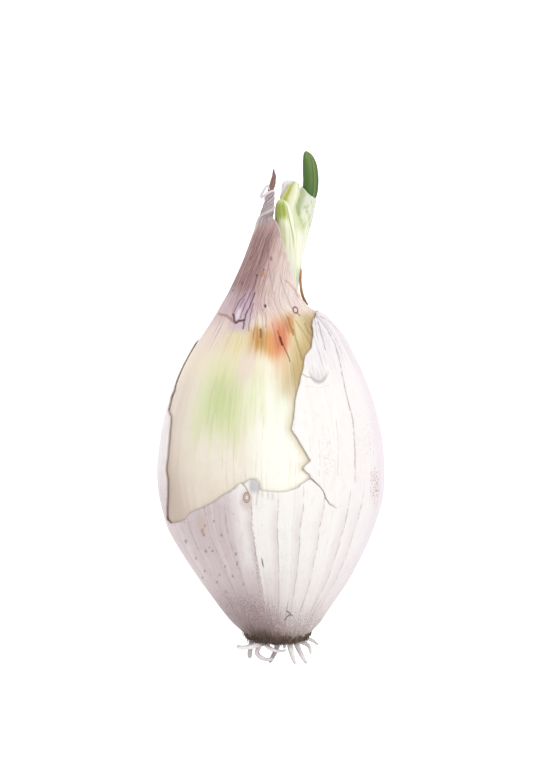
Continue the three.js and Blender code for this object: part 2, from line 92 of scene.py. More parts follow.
MIDDLE_SPROUT = [
    (67.9, 7.2, 7.75, -0.5, 0.2), (67.5, 6.35, 8.2, -0.5, 0.4), (66.6, 5.25, 8.55, -0.45, 0.58), (65.0, 4.25, 8.75, -0.4, 0.75),
    (62.9, 3.0, 8.35, -0.3, 0.85), (60.2, 2.6, 7.4, -0.25, 0.9), (57.0, 1.8, 8.4, -0.2, 0.92), (53.0, 0.8, 9.8, -0.2, 0.92),
    (49.6, 0.2, 10.4, -0.2, 0.92), (45.5, 0.0, 9.6, -0.2, 0.92), (42.0, -0.6, 8.7, -0.2, 0.9), (37.0, -1.4, 8.1, -0.25, 0.85),
    (31.9, -2.0, 7.6, -0.3, 0.75),
]
SHEATH = [
    (66.6, 9.0, 13.4, -3.35, 1.5), (63.0, 7.9, 13.7, -3.4, 1.85), (60.0, 7.0, 13.15, -3.4, 2.0), (57.0, 6.3, 12.6, -3.4, 2.0),
    (53.5, 5.0, 11.6, -3.4, 2.0), (50.0, 3.6, 10.6, -3.35, 1.95), (44.0, 1.6, 9.3, -3.3, 1.85), (38.0, 0.6, 8.4, -3.1, 1.7),
    (31.9, 0.2, 7.6, -2.9, 1.5),
]
GREEN_LEAF = [
    (77.22, 10.4, 10.65, -3.4, 0.12), (76.9, 10.05, 11.3, -3.4, 0.45), (76.4, 9.8, 12.0, -3.4, 0.75), (75.2, 9.6, 12.9, -3.4, 1.0),
    (73.2, 9.52, 13.75, -3.4, 1.2), (70.9, 9.52, 14.15, -3.4, 1.3), (68.5, 9.62, 14.3, -3.4, 1.32), (66.2, 9.5, 14.2, -3.4, 1.3),
    (64.2, 9.5, 13.9, -3.4, 1.2), (62.0, 9.4, 12.9, -3.4, 1.05), (59.6, 9.2, 11.6, -3.4, 0.85), (57.6, 9.4, 10.8, -3.4, 0.4),
]
MEMBRANE = [
    (68.35, 4.8, 6.4, -1.75, 0.12), (68.1, 3.9, 7.2, -1.75, 0.13), (67.0, 3.3, 7.6, -1.75, 0.14), (64.8, 2.95, 7.4, -1.75, 0.14),
    (62.0, 2.5, 6.6, -1.75, 0.14), (58.5, 2.0, 5.9, -1.75, 0.14), (55.0, 1.6, 4.6, -1.75, 0.12),
]
SPIKE = [
    (71.9, 0.86, 0.98, 3.6, 0.08), (70.8, 0.55, 1.15, 3.6, 0.22), (69.3, 0.2, 1.5, 3.6, 0.38), (67.9, -0.15, 1.5, 3.6, 0.46),
    (66.6, -0.6, 1.15, 3.6, 0.5), (65.4, -0.85, 0.85, 3.6, 0.5), (63.8, -0.8, 0.6, 3.6, 0.45),
]
SLIVER = [
    (42.0, 8.78, 8.95, 1.5, 0.1), (41.0, 8.6, 9.25, 1.5, 0.16), (38.4, 8.42, 9.25, 1.5, 0.2), (36.0, 8.55, 9.4, 1.45, 0.2),
    (34.0, 8.95, 9.85, 1.35, 0.2), (32.0, 9.9, 10.7, 1.2, 0.18), (30.9, 10.7, 11.3, 1.1, 0.15),
]
ROOTS = [   # path, radius, radius left at the tip (part of 1), how much painted shadow greys it
    ([(-2.6, -70.4, 4.6), (-5.8, -71.35, 6.2), (-8.4, -71.7, 6.8), (-10.3, -71.2, 6.5)], 0.86, 0.55, 0.0),
    ([(-5.8, -70.0, 0.1), (-6.15, -71.8, 0.3), (-6.35, -73.4, 0.4), (-6.4, -75.1, 0.4)], 0.8, 0.72, 0.75),
    ([(-3.0, -70.3, 1.9), (-3.8, -71.9, 2.4), (-4.2, -73.2, 2.9), (-3.1, -74.7, 3.3), (-0.8, -75.4, 3.4), (1.0, -74.9, 3.2)], 0.78, 0.5, 0.1),
    ([(-2.1, -70.3, 5.4), (-0.4, -71.8, 6.4), (1.6, -72.6, 7.0), (3.2, -72.7, 7.0), (4.5, -72.35, 6.8)], 0.66, 0.45, 0.0),
    ([(2.3, -70.0, -1.1), (1.6, -72.4, -1.7), (0.6, -74.5, -2.0), (-0.5, -76.5, -2.1)], 0.86, 0.6, 1.0),
    ([(3.9, -70.2, 2.3), (4.1, -71.3, 3.0), (3.9, -72.1, 3.3)], 0.55, 0.5, 0.2),
    ([(5.5, -70.0, 3.7), (6.1, -72.9, 4.6), (6.7, -75.0, 5.0), (7.2, -76.7, 5.0)], 0.98, 0.42, 0.15),
    ([(7.4, -70.0, 1.3), (8.6, -72.9, 2.4), (9.8, -75.2, 2.9), (10.7, -76.6, 2.7)], 0.9, 0.45, 0.35),
    ([(8.2, -69.9, -1.7), (10.5, -70.8, -1.2), (11.7, -72.1, -0.9), (11.95, -73.9, -0.8)], 0.78, 0.42, 0.3),
    ([(9.2, -69.3, -4.3), (11.2, -69.4, -4.9), (12.8, -70.1, -5.0), (14.2, -71.2, -4.9)], 0.7, 0.42, 0.3),
    ([(2.0, -70.1, -5.0), (1.5, -72.9, -6.2), (0.6, -74.8, -6.8)], 0.7, 0.55, 1.0),
]


# -------------------------------------------------------------------- helpers
class Spline:
    """Smooth interpolation of a table whose first column falls or rises."""

    def __init__(self, rows):
        t = np.array(sorted(rows), float)
        self.x = t[:, 0]
        self.y = t[:, 1:]
        d = np.diff(self.y, axis=0) / np.diff(self.x)[:, None]
        m = np.zeros_like(self.y)
        m[1:-1] = np.where(d[:-1] * d[1:] > 0, 2 * d[:-1] * d[1:] / (d[:-1] + d[1:] + 1e-12 * np.sign(d[:-1] + d[1:] + 1e-30)), 0.0)
        m[0], m[-1] = d[0], d[-1]
        self.m = m

    def __call__(self, q):
        q = np.atleast_1d(np.asarray(q, float))
        qc = np.clip(q, self.x[0], self.x[-1])
        i = np.clip(np.searchsorted(self.x, qc) - 1, 0, len(self.x) - 2)
        h = (self.x[i + 1] - self.x[i])[:, None]
        t = (qc - self.x[i])[:, None] / h
        a, b, ma, mb = self.y[i], self.y[i + 1], self.m[i], self.m[i + 1]
        return (2 * t**3 - 3 * t**2 + 1) * a + (t**3 - 2 * t**2 + t) * h * ma + (-2 * t**3 + 3 * t**2) * b + (t**3 - t**2) * h * mb


def sstep(x, lo, hi):
    t = np.clip((np.asarray(x, float) - lo) / (hi - lo), 0, 1)
    return t * t * (3 - 2 * t)


def soft_max(z, c, k=0.22):
    d = z - c
    return c + 0.5 * (d + np.sqrt(d * d + k * k))


def gauss(x, c, w):
    return np.exp(-((np.asarray(x, float) - c) / w) ** 2)


class Waves:
    """Seeded smooth periodic noise on an angle."""

    def __init__(self, seed, k0, k1, power=0.5):
        r = np.random.default_rng(seed)
        self.k = np.arange(k0, k1 + 1)
        self.a = r.normal(size=len(self.k)) / self.k**power
        self.p = r.uniform(0, TAU, len(self.k))
        probe = np.linspace(0, TAU, 720)
        self.s = 1.0
        self.s = 1.0 / np.abs(self(probe)).max()

    def __call__(self, t):
        t = np.asarray(t, float)
        out = np.zeros_like(t)
        for k, a, p in zip(self.k, self.a, self.p):
            out = out + a * np.cos(k * t + p)
        return out * self.s


def line_noise(n, seed, octaves=((6, 1.0), (17, 0.6), (43, 0.35), (101, 0.2))):
    """Seeded fractal noise along n points, about -1 to 1."""
    r = np.random.default_rng(seed)
    x = np.linspace(0, 1, n)
    out = np.zeros(n)
    for k, a in octaves:
        out += a * np.interp(x, np.linspace(0, 1, k + 1), r.uniform(-1, 1, k + 1))
    return out / sum(a for _, a in octaves)


def make_mesh(name, verts, faces, attrs=None, vattrs=None, smooth=True):
    """verts: Nx3 millimetres. faces: a list of integer arrays (n,3) or (n,4)."""
    me = bpy.data.meshes.new(name)
    verts = np.asarray(verts, np.float32) * 0.001
    me.vertices.add(len(verts))
    me.vertices.foreach_set("co", verts.ravel())
    loops = np.concatenate([f.ravel() for f in faces]).astype(np.int32)
    sizes = np.concatenate([np.full(len(f), f.shape[1], np.int32) for f in faces])
    starts = np.concatenate([[0], np.cumsum(sizes)[:-1]]).astype(np.int32)
    me.loops.add(len(loops))
    me.loops.foreach_set("vertex_index", loops)
    me.polygons.add(len(sizes))
    me.polygons.foreach_set("loop_start", starts)
    me.update(calc_edges=True)
    me.validate()
    me.polygons.foreach_set("use_smooth", np.full(len(me.polygons), smooth, bool))
    for key, val in (attrs or {}).items():
        at = me.attributes.new(key, "FLOAT", "POINT")
        at.data.foreach_set("value", np.asarray(val, np.float32).ravel())
    for key, val in (vattrs or {}).items():
        at = me.attributes.new(key, "FLOAT_VECTOR", "POINT")
        at.data.foreach_set("vector", np.asarray(val, np.float32).ravel())
    me.update()
    ob = bpy.data.objects.new(name, me)
    bpy.context.scene.collection.objects.link(ob)
    return ob


def grid_faces(rows, cols, wrap, start=0, flip=False):
    r = np.arange(rows - 1)[:, None]
    c = np.arange(cols if wrap else cols - 1)[None, :]
    c1 = (c + 1) % cols
    a = start + r * cols + c
    b = start + r * cols + c1
    d = start + (r + 1) * cols + c
    e = start + (r + 1) * cols + c1
    q = np.stack([a, b, e, d], -1).reshape(-1, 4)
    return q[:, ::-1] if flip else q


def fan(ring, centre, flip=False):
    ring = np.asarray(ring)
    nxt = np.roll(ring, -1)
    t = np.stack([ring, nxt, np.full(len(ring), centre)], -1)
    return t[:, ::-1] if flip else t


def hexlin(h):
    h = h.lstrip("#")
    c = [int(h[i:i + 2], 16) / 255 for i in (0, 2, 4)]
    return tuple(v / 12.92 if v <= 0.04045 else ((v + 0.055) / 1.055) ** 2.4 for v in c) + (1.0,)


prof = Spline(PROFILE)
sleeve = Spline(SLEEVE)
strand = Spline(STRAND)


def half(y):
    p = prof(y)
    return (p[:, 0] + p[:, 1]) / 2, (p[:, 1] - p[:, 0]) / 2


def inset_at(y):
    return 0.8 * sstep(-np.asarray(y, float), -26.4, -14.4)


def bowl(theta, y):
    return (0.9 - 1.75 * np.sin(theta) ** 2) * sstep(-y, 63.5, 70.2)


def shell_point(theta, y, off, zmin):
    """A point round the bulb: off is measured outward from the silhouette profile."""
    theta, y, off = np.broadcast_arrays(np.asarray(theta, float), np.asarray(y, float), np.asarray(off, float))
    cx, a = half(y.ravel())
    cx, a = cx.reshape(y.shape), a.reshape(y.shape)
    # towards the base the rim hangs lower in front and behind than at the sides
    y = y + bowl(theta, y)
    x = cx + (a + off) * np.cos(theta)
    z = ZC + (a * FLAT + off) * np.sin(theta)
    return np.stack([x, y, soft_max(z, zmin)], -1)


# ============================================================ outer dry skin
def xy_to_theta(x, y, front):
    cx, a = half(np.array([y]))
    off = 0.8 - inset_at(y)
    c = max(-1.0, min(1.0, (x - cx[0]) / (a[0] + off)))
    t = math.acos(c)
    return t if front else TAU - t


U = 30.0  # unrolled width per radian
arc_y = np.linspace(-71.5, 30.5, 400)
_, arc_a = half(arc_y)
arc_s = np.concatenate([[0], np.cumsum(np.hypot(np.diff(arc_y), np.diff(arc_a)))])


def y_to_s(y):
    return np.interp(y, arc_y, arc_s)


def s_to_y(s):
    return np.interp(s, arc_s, arc_y)


def densify(pts, step):
    out = []
    for (u0, v0), (u1, v1) in zip(pts, pts[1:]):
        n = max(1, int(math.hypot(u1 - u0, v1 - v0) / step))
        for i in range(n):
            f = i / n
            out.append((u0 + f * (u1 - u0), v0 + f * (v1 - v0)))
    out.append(pts[-1])
    return np.array(out)


def ragged(line, amp, seed):
    n = len(line)
    t = np.gradient(line, axis=0)
    t /= np.linalg.norm(t, axis=1)[:, None] + 1e-9
    nrm = np.stack([-t[:, 1], t[:, 0]], -1)
    w = line_noise(n, seed, ((n // 14 + 2, 1.0), (n // 6 + 2, 0.8), (n // 3 + 2, 0.5)))
    fade = np.minimum(1, np.minimum(np.arange(n), np.arange(n)[::-1]) / 4.0)
    return line + nrm * (w * amp * fade)[:, None]


def skin_boundary():
    """The skin's whole upper edge in the unrolled plane, from the seam at -90 degrees to the seam at 270."""
    def uv(pts, front):
        return [(xy_to_theta(x, y, front) * U, float(y_to_s(y))) for x, y in pts]

    rim = uv(BACK_RIM, False)
    # the right half of the back rim lies between -90 and 0 degrees
    right_rim = [(u - TAU * U, v) for u, v in rim if u / U > 1.5 * math.pi - 1e-9]
    left_rim = [(u, v) for u, v in rim if u / U <= 1.5 * math.pi]
    # height of the rim where it crosses the seam
    (ua, va), (ub, vb) = left_rim[-1], (right_rim[0][0] + TAU * U, right_rim[0][1])
    seam_u = 1.5 * math.pi * U
    seam_v = va + (vb - va) * (seam_u - ua) / (ub - ua)
    right_rim = [(seam_u - TAU * U, seam_v)] + right_rim
    left_rim = left_rim + [(seam_u, seam_v)]
    right_rim[-1] = (0.0, right_rim[-1][1])
    wr = uv(WINDOW_RIGHT, True)[::-1]      # from the top right corner down
    wr[0] = (0.02 * U, float(y_to_s(29.6)))
    wl = uv(WINDOW_LOW, True)[::-1]        # along the lower edge and up the left side
    left_rim[0] = wl[-1]
    # the crack: out along its upper lip, back along its lower lip
    mid = uv(CRACK, True)
    widths = np.array([0.34, 0.26, 0.2, 0.14, 0.09, 0.02])
    m = np.array(mid)
    t = np.gradient(m, axis=0)
    t /= np.linalg.norm(t, axis=1)[:, None]
    nrm = np.stack([-t[:, 1], t[:, 0]], -1)
    side_a = m + nrm * (widths / 2)[:, None]
    side_b = m - nrm * (widths / 2)[:, None]
    # the side nearer the window's right edge comes first
    if np.linalg.norm(side_a[0] - np.array(wr[-1])) > np.linalg.norm(side_b[0] - np.array(wr[-1])):
        side_a, side_b = side_b, side_a
    parts = [
        ragged(densify(right_rim, 0.5), 0.35, 3),
        ragged(densify([right_rim[-1]] + wr, 0.4), 0.2, 5),
        ragged(densify([wr[-1]] + [tuple(p) for p in side_a], 0.4), 0.1, 7),
        ragged(densify([tuple(side_a[-1])] + [tuple(p) for p in side_b[::-1]], 0.4), 0.1, 9),
        ragged(densify([tuple(side_b[0])] + wl, 0.4), 0.2, 11),
        ragged(densify(left_rim, 0.5), 0.35, 13),
    ]
    line = [parts[0]]
    for p in parts[1:]:
        line.append(p[1:])
    return np.concatenate(line)


def inside_poly(pts, poly):
    x, y = pts[:, 0], pts[:, 1]
    res = np.zeros(len(pts), bool)
    px, py = poly[:, 0], poly[:, 1]
    qx, qy = np.roll(px, -1), np.roll(py, -1)
    for i in range(len(poly)):
        cond = (py[i] > y) != (qy[i] > y)
        with np.errstate(divide="ignore", invalid="ignore"):
            xi = (qx[i] - px[i]) * (y - py[i]) / (qy[i] - py[i] + 1e-15) + px[i]
        res ^= cond & (x < xi)
    return res


def dist_to_line(pts, line, chunk=2000):
    a = line[:-1]
    d = line[1:] - a
    dd = (d * d).sum(1) + 1e-12
    out = np.empty(len(pts))
    for i in range(0, len(pts), chunk):
        p = pts[i:i + chunk, None, :]
        t = np.clip(((p - a) * d).sum(-1) / dd, 0, 1)
        q = a + t[..., None] * d
        out[i:i + chunk] = np.sqrt(((p - q) ** 2).sum(-1)).min(1)
    return out


RIDGES = Waves(41, 14, 46, 0.3)
RIDGES2 = Waves(43, 30, 90, 0.2)
LOBES = Waves(47, 3, 9, 0.7)


def skin_relief(theta, y):
    """Low ridges and folds of the dry skin, in millimetres outward."""
    fade = sstep(y, -70, -52) * 0.6 + 0.4
    r = 0.10 * np.abs(RIDGES(theta + 0.01 * np.sin(y * 0.11))) * fade
    r = r + 0.02 * (1 + RIDGES2(theta + 0.004 * np.sin(y * 0.23)))
    r = r + 0.05 * (1 + LOBES(theta)) * sstep(y, -68, -40)
    r = r + 0.13 * np.abs(RIDGES(theta * 1.0 + 1.7)) * sstep(y, 12, 26)
    return r


def skin_marks(P, theta, y):
    """Local forms on the skin's front: a blister near the top right, a ring scar, the curled tip."""
    x, z = P[..., 0], P[..., 2]
    front = (z > ZC).astype(float)
    ex, ey = (x - 14.2) / 3.1, (y - 13.0) / 5.4
    rr = np.sqrt(ex**2 + ey**2)
    out = 0.42 * (1 - sstep(rr, 0.55, 1.08)) * front * (0.55 + 0.45 * sstep(-ey, -1, 0.8))
    rx, ry = (x + 7.15) / 0.95, (y + 26.35) / 1.35
    r2 = np.sqrt(rx**2 + ry**2)
    out = out + 0.28 * gauss(r2, 1.0, 0.34) * front - 0.12 * gauss(r2, 0.0, 0.5) * front
    # long fold running down from the ring scar
    xf = -6.4 + (-26 - y) * 0.105
    out = out + 0.12 * gauss(x, xf, 0.55) * front * sstep(-y, 26, 30) * (1 - sstep(-y, 52, 62))
    # fold under the curled tip
    out = out + 0.35 * gauss(x, -5.0, 1.2) * gauss(y, -23.0, 2.4) * front - 0.2 * gauss(x, -7.3, 0.7) * gauss(y, -23.5, 1.6) * front
    return out


def build_skin():
    edge = skin_boundary()
    n_bottom = 420
    u0, u1 = -0.5 * math.pi * U, 1.5 * math.pi * U
    s_bot = float(y_to_s(-69.9))
    bt = np.linspace(u1, u0, n_bottom + 1)
    tooth = line_noise(n_bottom + 1, 77, ((20, 0.6), (70, 1.0), (n_bottom, 0.9)))
    tooth[0] = tooth[-1] = 0.0
    bottom = np.stack([bt, s_bot + 0.75 * tooth], -1)
    step = 0.82
    seam_top = edge[-1][1]
    ns = int((seam_top - s_bot) / step)
    seam_s = np.linspace(s_bot, seam_top, ns + 1)[1:-1]
    right_seam = np.stack([np.full(ns - 1, u1), seam_s[::-1]], -1)      # going down at 270
    left_seam = np.stack([np.full(ns - 1, u0), seam_s], -1)             # going up at -90
    loop = np.concatenate([edge, right_seam, bottom, left_seam])
    free = np.concatenate([edge, [edge[-1]]])
    # interior points, staggered rows
    pts = []
    s = s_bot + step * 0.9
    k = 0
    while s < float(arc_s[-1]):
        us = np.arange(u0 + step * (0.5 if k % 2 else 0.95), u1 - step * 0.4, step)
        pts.append(np.stack([us, np.full(len(us), s)], -1))
        s += step * 0.9
        k += 1
    pts = np.concatenate(pts)
    pts = pts[inside_poly(pts, loop)]
    near = dist_to_line(pts, np.concatenate([loop, loop[:1]]))
    pts = pts[near > 0.42]
    allp = np.concatenate([loop, pts])
    nl = len(loop)
    res = mgeo.delaunay_2d_cdt([Vector((float(a), float(b))) for a, b in allp], [(i, (i + 1) % nl) for i in range(nl)], [], 0, 1e-5)
    v2 = np.array([(v.x, v.y) for v in res[0]])
    tri = np.array([f for f in res[2] if len(f) == 3], int)
    cen = v2[tri].mean(1)
    tri = tri[inside_poly(cen, loop)]
    used = np.unique(tri)
    remap = -np.ones(len(v2), int)
    remap[used] = np.arange(len(used))
    v2, tri = v2[used], remap[tri]
    # join the seam: the left seam's points take the right seam's vertices
    on_l = np.where(np.abs(v2[:, 0] - u0) < 1e-4)[0]
    on_r = np.where(np.abs(v2[:, 0] - u1) < 1e-4)[0]
    join = np.arange(len(v2))
    for i in on_l:
        j = on_r[np.argmin(np.abs(v2[on_r, 1] - v2[i, 1]))]
        if abs(v2[j, 1] - v2[i, 1]) < 0.05:
            join[i] = j
    tri = join[tri]
    used = np.unique(tri)
    remap = -np.ones(len(v2), int)
    remap[used] = np.arange(len(used))
    v2, tri = v2[used], remap[tri]
    tri = tri[(tri[:, 0] != tri[:, 1]) & (tri[:, 1] != tri[:, 2]) & (tri[:, 0] != tri[:, 2])]
    # orient triangles anticlockwise in (u, s)
    a, b, c = v2[tri[:, 0]], v2[tri[:, 1]], v2[tri[:, 2]]
    wrapu = lambda d: (d + TAU * U / 2) % (TAU * U) - TAU * U / 2
    ab = np.stack([wrapu(b[:, 0] - a[:, 0]), b[:, 1] - a[:, 1]], -1)
    ac = np.stack([wrapu(c[:, 0] - a[:, 0]), c[:, 1] - a[:, 1]], -1)
    neg = ab[:, 0] * ac[:, 1] - ab[:, 1] * ac[:, 0] < 0
    tri[neg] = tri[neg][:, ::-1]

    theta = v2[:, 0] / U
    y = s_to_y(v2[:, 1])
    d_edge = dist_to_line(v2, edge)
    base = 0.7 - inset_at(y)
    P0 = shell_point(theta, y, base, 0.0)
    relief = skin_relief(theta, y) + skin_marks(P0, theta, y)
    # torn edges stand a little off the bulb, unevenly
    lift_n = 0.5 + 0.5 * Waves(53, 5, 40, 0.2)(theta + y * 0.05)
    lift = (0.01 + 0.13 * lift_n) * np.exp(-(d_edge / 1.4) ** 2) * sstep(np.cos(theta), -0.98, -0.6)
    cx = P0[:, 0]
    curl = gauss(cx, -4.8, 1.7) * gauss(y, -22.2, 1.7) * (P0[:, 2] > ZC)
    lift = lift + 1.0 * curl * np.exp(-(d_edge / 2.2) ** 2)
    spur = gauss(cx, 10.0, 1.8) * gauss(y, -18.0, 1.6) * (P0[:, 2] > ZC)
    lift = lift + 0.25 * spur * np.exp(-(d_edge / 1.8) ** 2)
    floor_fade = sstep(P0[:, 2], 0.6, 6.0)
    off = base + (relief + lift) * floor_fade
    # the sheet is a little thicker near its torn edge, most on the left side
    thick = 0.24 + 0.03 * np.exp(-(d_edge / 2.0) ** 2) + 0.14 * np.exp(-(d_edge / 0.5) ** 2) * sstep(-np.cos(theta), 0.55, 0.9)
    outer = shell_point(theta, y, off, 0.0)
    inner = shell_point(theta, y, off - thick, 0.3)
    n = len(outer)
    # boundary edges of the sheet
    e = np.concatenate([tri[:, [0, 1]], tri[:, [1, 2]], tri[:, [2, 0]]])
    key = np.sort(e, 1)
    _, idx, cnt = np.unique(key, axis=0, return_index=True, return_counts=True)
    be = e[idx[cnt == 1]]
    # the rim: one ring of middle vertices between the outer and inner sheet
    bv = np.unique(be)
    mid_id = {int(v): 2 * n + i for i, v in enumerate(bv)}
    mid = (outer[bv] + inner[bv]) / 2
    verts = np.concatenate([outer, inner, mid])
    m0 = np.array([mid_id[int(v)] for v in be[:, 0]])
    m1 = np.array([mid_id[int(v)] for v in be[:, 1]])
    rim1 = np.stack([be[:, 1], be[:, 0], m0, m1], -1)
    rim2 = np.stack([m1, m0, be[:, 0] + n, be[:, 1] + n], -1)
    faces = [tri, tri[:, ::-1] + n, rim1, rim2]
    th = np.concatenate([theta, theta, theta[bv]])
    yy = np.concatenate([y, y, y[bv]])
    de = np.concatenate([d_edge, d_edge, np.zeros(len(bv))])
    side = np.concatenate([np.zeros(n), np.ones(n), np.full(len(bv), 0.5)])
    pc = np.stack([np.cos(th), np.sin(th), yy / 10], -1)
    ob = make_mesh("dry_outer_skin", verts, faces, {"edge": de, "side": side, "curl": np.concatenate([curl, curl, curl[bv]])}, {"pc": pc})
    return ob, edge, loop


# =============================================================== bulb and neck
PLEAT = Waves(61, 7, 26, 0.25)
PLEAT2 = Waves(67, 24, 70, 0.2)
SCALE_RIBS = Waves(71, 12, 40, 0.3)


def build_bulb():
    N = 300
    ys = np.concatenate([np.arange(-67.6, 24, 0.95), np.arange(24, 29.2, 0.6), np.arange(29.6, 64.65, 0.34)])
    R = len(ys)
    phi = np.linspace(0, 1, N + 1)
    y2 = np.repeat(ys[:, None], N + 1, 1)
    ph = np.repeat(phi[None, :], R, 0)
    cx, a = half(ys)
    sl = sleeve(ys)
    use = sstep(ys, 28.5, 31.5)
    lx = (cx - a) * (1 - use) + sl[:, 0] * use
    rx = (cx + a) * (1 - use) + sl[:, 1] * use
    split = np.radians(np.where(ys < 29.3, 0.0, sl[:, 2]))
    # the split's edges wander a little
    wav = sstep(ys, 31, 34) * (1 - sstep(ys, 49, 54))
    split = split + wav * (0.012 * np.sin(ys * 1.1) + 0.012 * np.sin(ys * 2.7 + 1))
    split2 = split + wav * (0.03 * np.sin(ys * 0.8 + 2) + 0.02 * np.sin(ys * 2.1))
    c0 = ((lx + rx) / 2)[:, None]
    a0 = ((rx - lx) / 2)[:, None]
    b0 = a0 * (FLAT * (1 - use) + 0.97 * use)[:, None]
    th = split[:, None] + ph * (TAU - split[:, None] - split2[:, None])
    th_mat = ph * TAU * 0.999 if False else th
    st = strand(ys)
    g = sstep(y2 + 0.8 * ph, 50.5, 57.4)
    # the split closes from y = 50 up, until its edges overlap
    split_m = (split + split2) / 2
    shut = np.radians(Spline([(48, 75.1), (50, 84.0), (51.5, 87.0), (53.0, 82.0), (54.4, 71.0), (55.5, 53.0), (57.0, 25.0), (58.5, -14.0),
                              (60.0, -16.0), (66.0, -16.0)])(np.maximum(ys, 48.0))[:, 0])
    shut = np.where(ys < 50.0, split_m, shut)
    psi = math.pi + (th - math.pi) * ((math.pi - shut) / (math.pi - split_m))[:, None]
    omega = Spline([(40, 0), (56.6, 0), (58.4, 1.5), (60.0, 3.3), (61.5, 4.8), (64.7, 7.0)])(ys)[:, 0][:, None]
    omega = np.where(ys[:, None] < 56.6, 0.0, omega)
    psi = psi - omega
    cxx = c0 * (1 - g) + st[:, 0][:, None] * g
    czz = st[:, 1][:, None] * g
    ra = a0 * (1 - g) + st[:, 2][:, None] * g
    rb = b0 * (1 - g) + st[:, 3][:, None] * g
    # relief
    mat = th
    amp = np.interp(ys, [-70, 8, 20, 30, 40, 50, 56, 60, 65], [0.0, 0.01, 0.05, 0.12, 0.17, 0.22, 0.22, 0.18, 0.16])[:, None]
    drift = 0.015 * np.sin(y2 * 0.21) + 0.01 * np.sin(y2 * 0.57 + 1)
    pl = np.minimum(np.abs(PLEAT(mat + drift)) * 2.0, 1.0) - 0.55
    pl2 = np.abs(PLEAT2(mat + drift * 0.6)) - 0.4
    rel = amp * (pl + 0.35 * pl2)
    ribs = 0.05 * (np.abs(SCALE_RIBS(mat + 0.006 * np.sin(y2 * 0.13))) - 0.3) * (1 - sstep(y2, 18, 30))
    rel = rel + ribs * sstep(y2, -66, -50)
    # the sleeve's left fold becomes a raised cord as the top twists shut
    tw = sstep(y2, 50.5, 54.5)
    cord_ = gauss(mat, math.pi, 0.16) + 0.5 * gauss(mat, math.pi * 1.28, 0.13) + 0.5 * gauss(mat, math.pi * 0.78, 0.12)
    rel = rel + tw * (0.34 * cord_ - 0.06)
    # the scale lies inset under the outer skin's level below the shoulder
    off = -inset_at(y2) * 0.68
    rr_x = ra + off + rel
    rr_z = rb + off + rel
    lap = 0.3 * (ph - 0.5) * sstep(y2, 56, 59)
    rr_x, rr_z = rr_x + lap, rr_z + lap
    X = cxx + rr_x * np.cos(psi)
    Z = ZC + czz + rr_z * np.sin(psi)
    Y0 = y2 + bowl(psi, y2)
    # dry sleeve skin leans over at its top: rows are not quite level
    Y = Y0 + tw * 0.35 * np.sin(psi * 1.0 + 0.6)
    Z = soft_max(Z, 0.62)
    # the twisted top ends in a ragged mouth
    top_rag = 0.35 * np.interp(phi, np.linspace(0, 1, 13), RNG.uniform(-1, 1, 13))
    Y = Y + top_rag[None, :] * sstep(y2, 62.0, 64.6)
    outer = np.stack([X, Y, Z], -1)

    th_k = 0.34 - 0.12 * sstep(ys, 50, 60)
    r0 = int(np.searchsorted(ys, 30.4))
    Xi = cxx + (rr_x - th_k[:, None]) * np.cos(psi)
    Zi = ZC + czz + (rr_z - th_k[:, None]) * np.sin(psi)
    inner = np.stack([Xi, Y - 0.02, Zi], -1)[r0:]

    C = N + 1
    idx = np.arange(R * C).reshape(R, C)
    idx[:r0, N] = idx[:r0, 0]          # closed below the split
    V = [outer.reshape(-1, 3)]
    quads = np.stack([idx[:-1, :-1], idx[:-1, 1:], idx[1:, 1:], idx[1:, :-1]], -1).reshape(-1, 4)
    quads = quads[:, ::-1]
    nin = R * C
    Ri = R - r0
    jdx = nin + np.arange(Ri * C).reshape(Ri, C)
    V.append(inner.reshape(-1, 3))
    iq = np.stack([jdx[:-1, :-1], jdx[:-1, 1:], jdx[1:, 1:], jdx[1:, :-1]], -1).reshape(-1, 4)
    # split edges
    o = idx[r0:]
    e0 = np.stack([o[:-1, 0], o[1:, 0], jdx[1:, 0], jdx[:-1, 0]], -1)[:, ::-1]
    e1 = np.stack([o[:-1, N], o[1:, N], jdx[1:, N], jdx[:-1, N]], -1)
    # top edge
    tp = np.stack([o[-1, :-1], o[-1, 1:], jdx[-1, 1:], jdx[-1, :-1]], -1)[:, ::-1]
    base_c = nin + Ri * C
    V.append(np.array([[cx[0], ys[0] - 0.2, ZC]]))
    bot = fan(idx[0, :N], base_c, flip=True)
    floor_c = base_c + 1
    V.append(np.array([[-1.5, ys[r0] + 0.2, ZC]]))
    ringf = np.concatenate([jdx[0], [o[0, N], idx[r0 - 1, 0], o[0, 0]]])
    flo = fan(ringf, floor_c, flip=False)
    V = np.concatenate(V)
    mat_all = np.concatenate([th.reshape(-1), th[r0:].reshape(-1), [0.0, math.pi]])
    y_all = np.concatenate([y2.reshape(-1), y2[r0:].reshape(-1), [ys[0], ys[r0]]])
    side = np.concatenate([np.zeros(R * C), np.ones(Ri * C), [0, 1]])
    rimd = np.minimum(ph, 1 - ph) * (ra * TAU)
    rimd = np.where(y2 < 30.0, 99.0, rimd)
    rim_all = np.concatenate([rimd.reshape(-1), rimd[r0:].reshape(-1), [99.0, 99.0]])
    # distance from the window's torn edge, measured in the unrolled plane
    tear = np.full(len(y_all), 99.0)
    near = (y_all < 30.2) & (y_all > -45) & (np.cos(mat_all) > -1.1)
    uv = np.stack([(mat_all[near] % TAU) * U, y_to_s(y_all[near])], -1)
    uv[uv[:, 0] > 1.5 * math.pi * U, 0] -= TAU * U
    tear[near] = dist_to_line(uv, SKIN_EDGE[::4])
    pc = np.stack([np.cos(mat_all), np.sin(mat_all), y_all / 10], -1)
    ob = make_mesh("bulb_and_neck", V, [quads, iq, e0, e1, tp, bot, flo],
                   {"side": side, "rim": rim_all, "tear": tear}, {"pc": pc})
    return ob


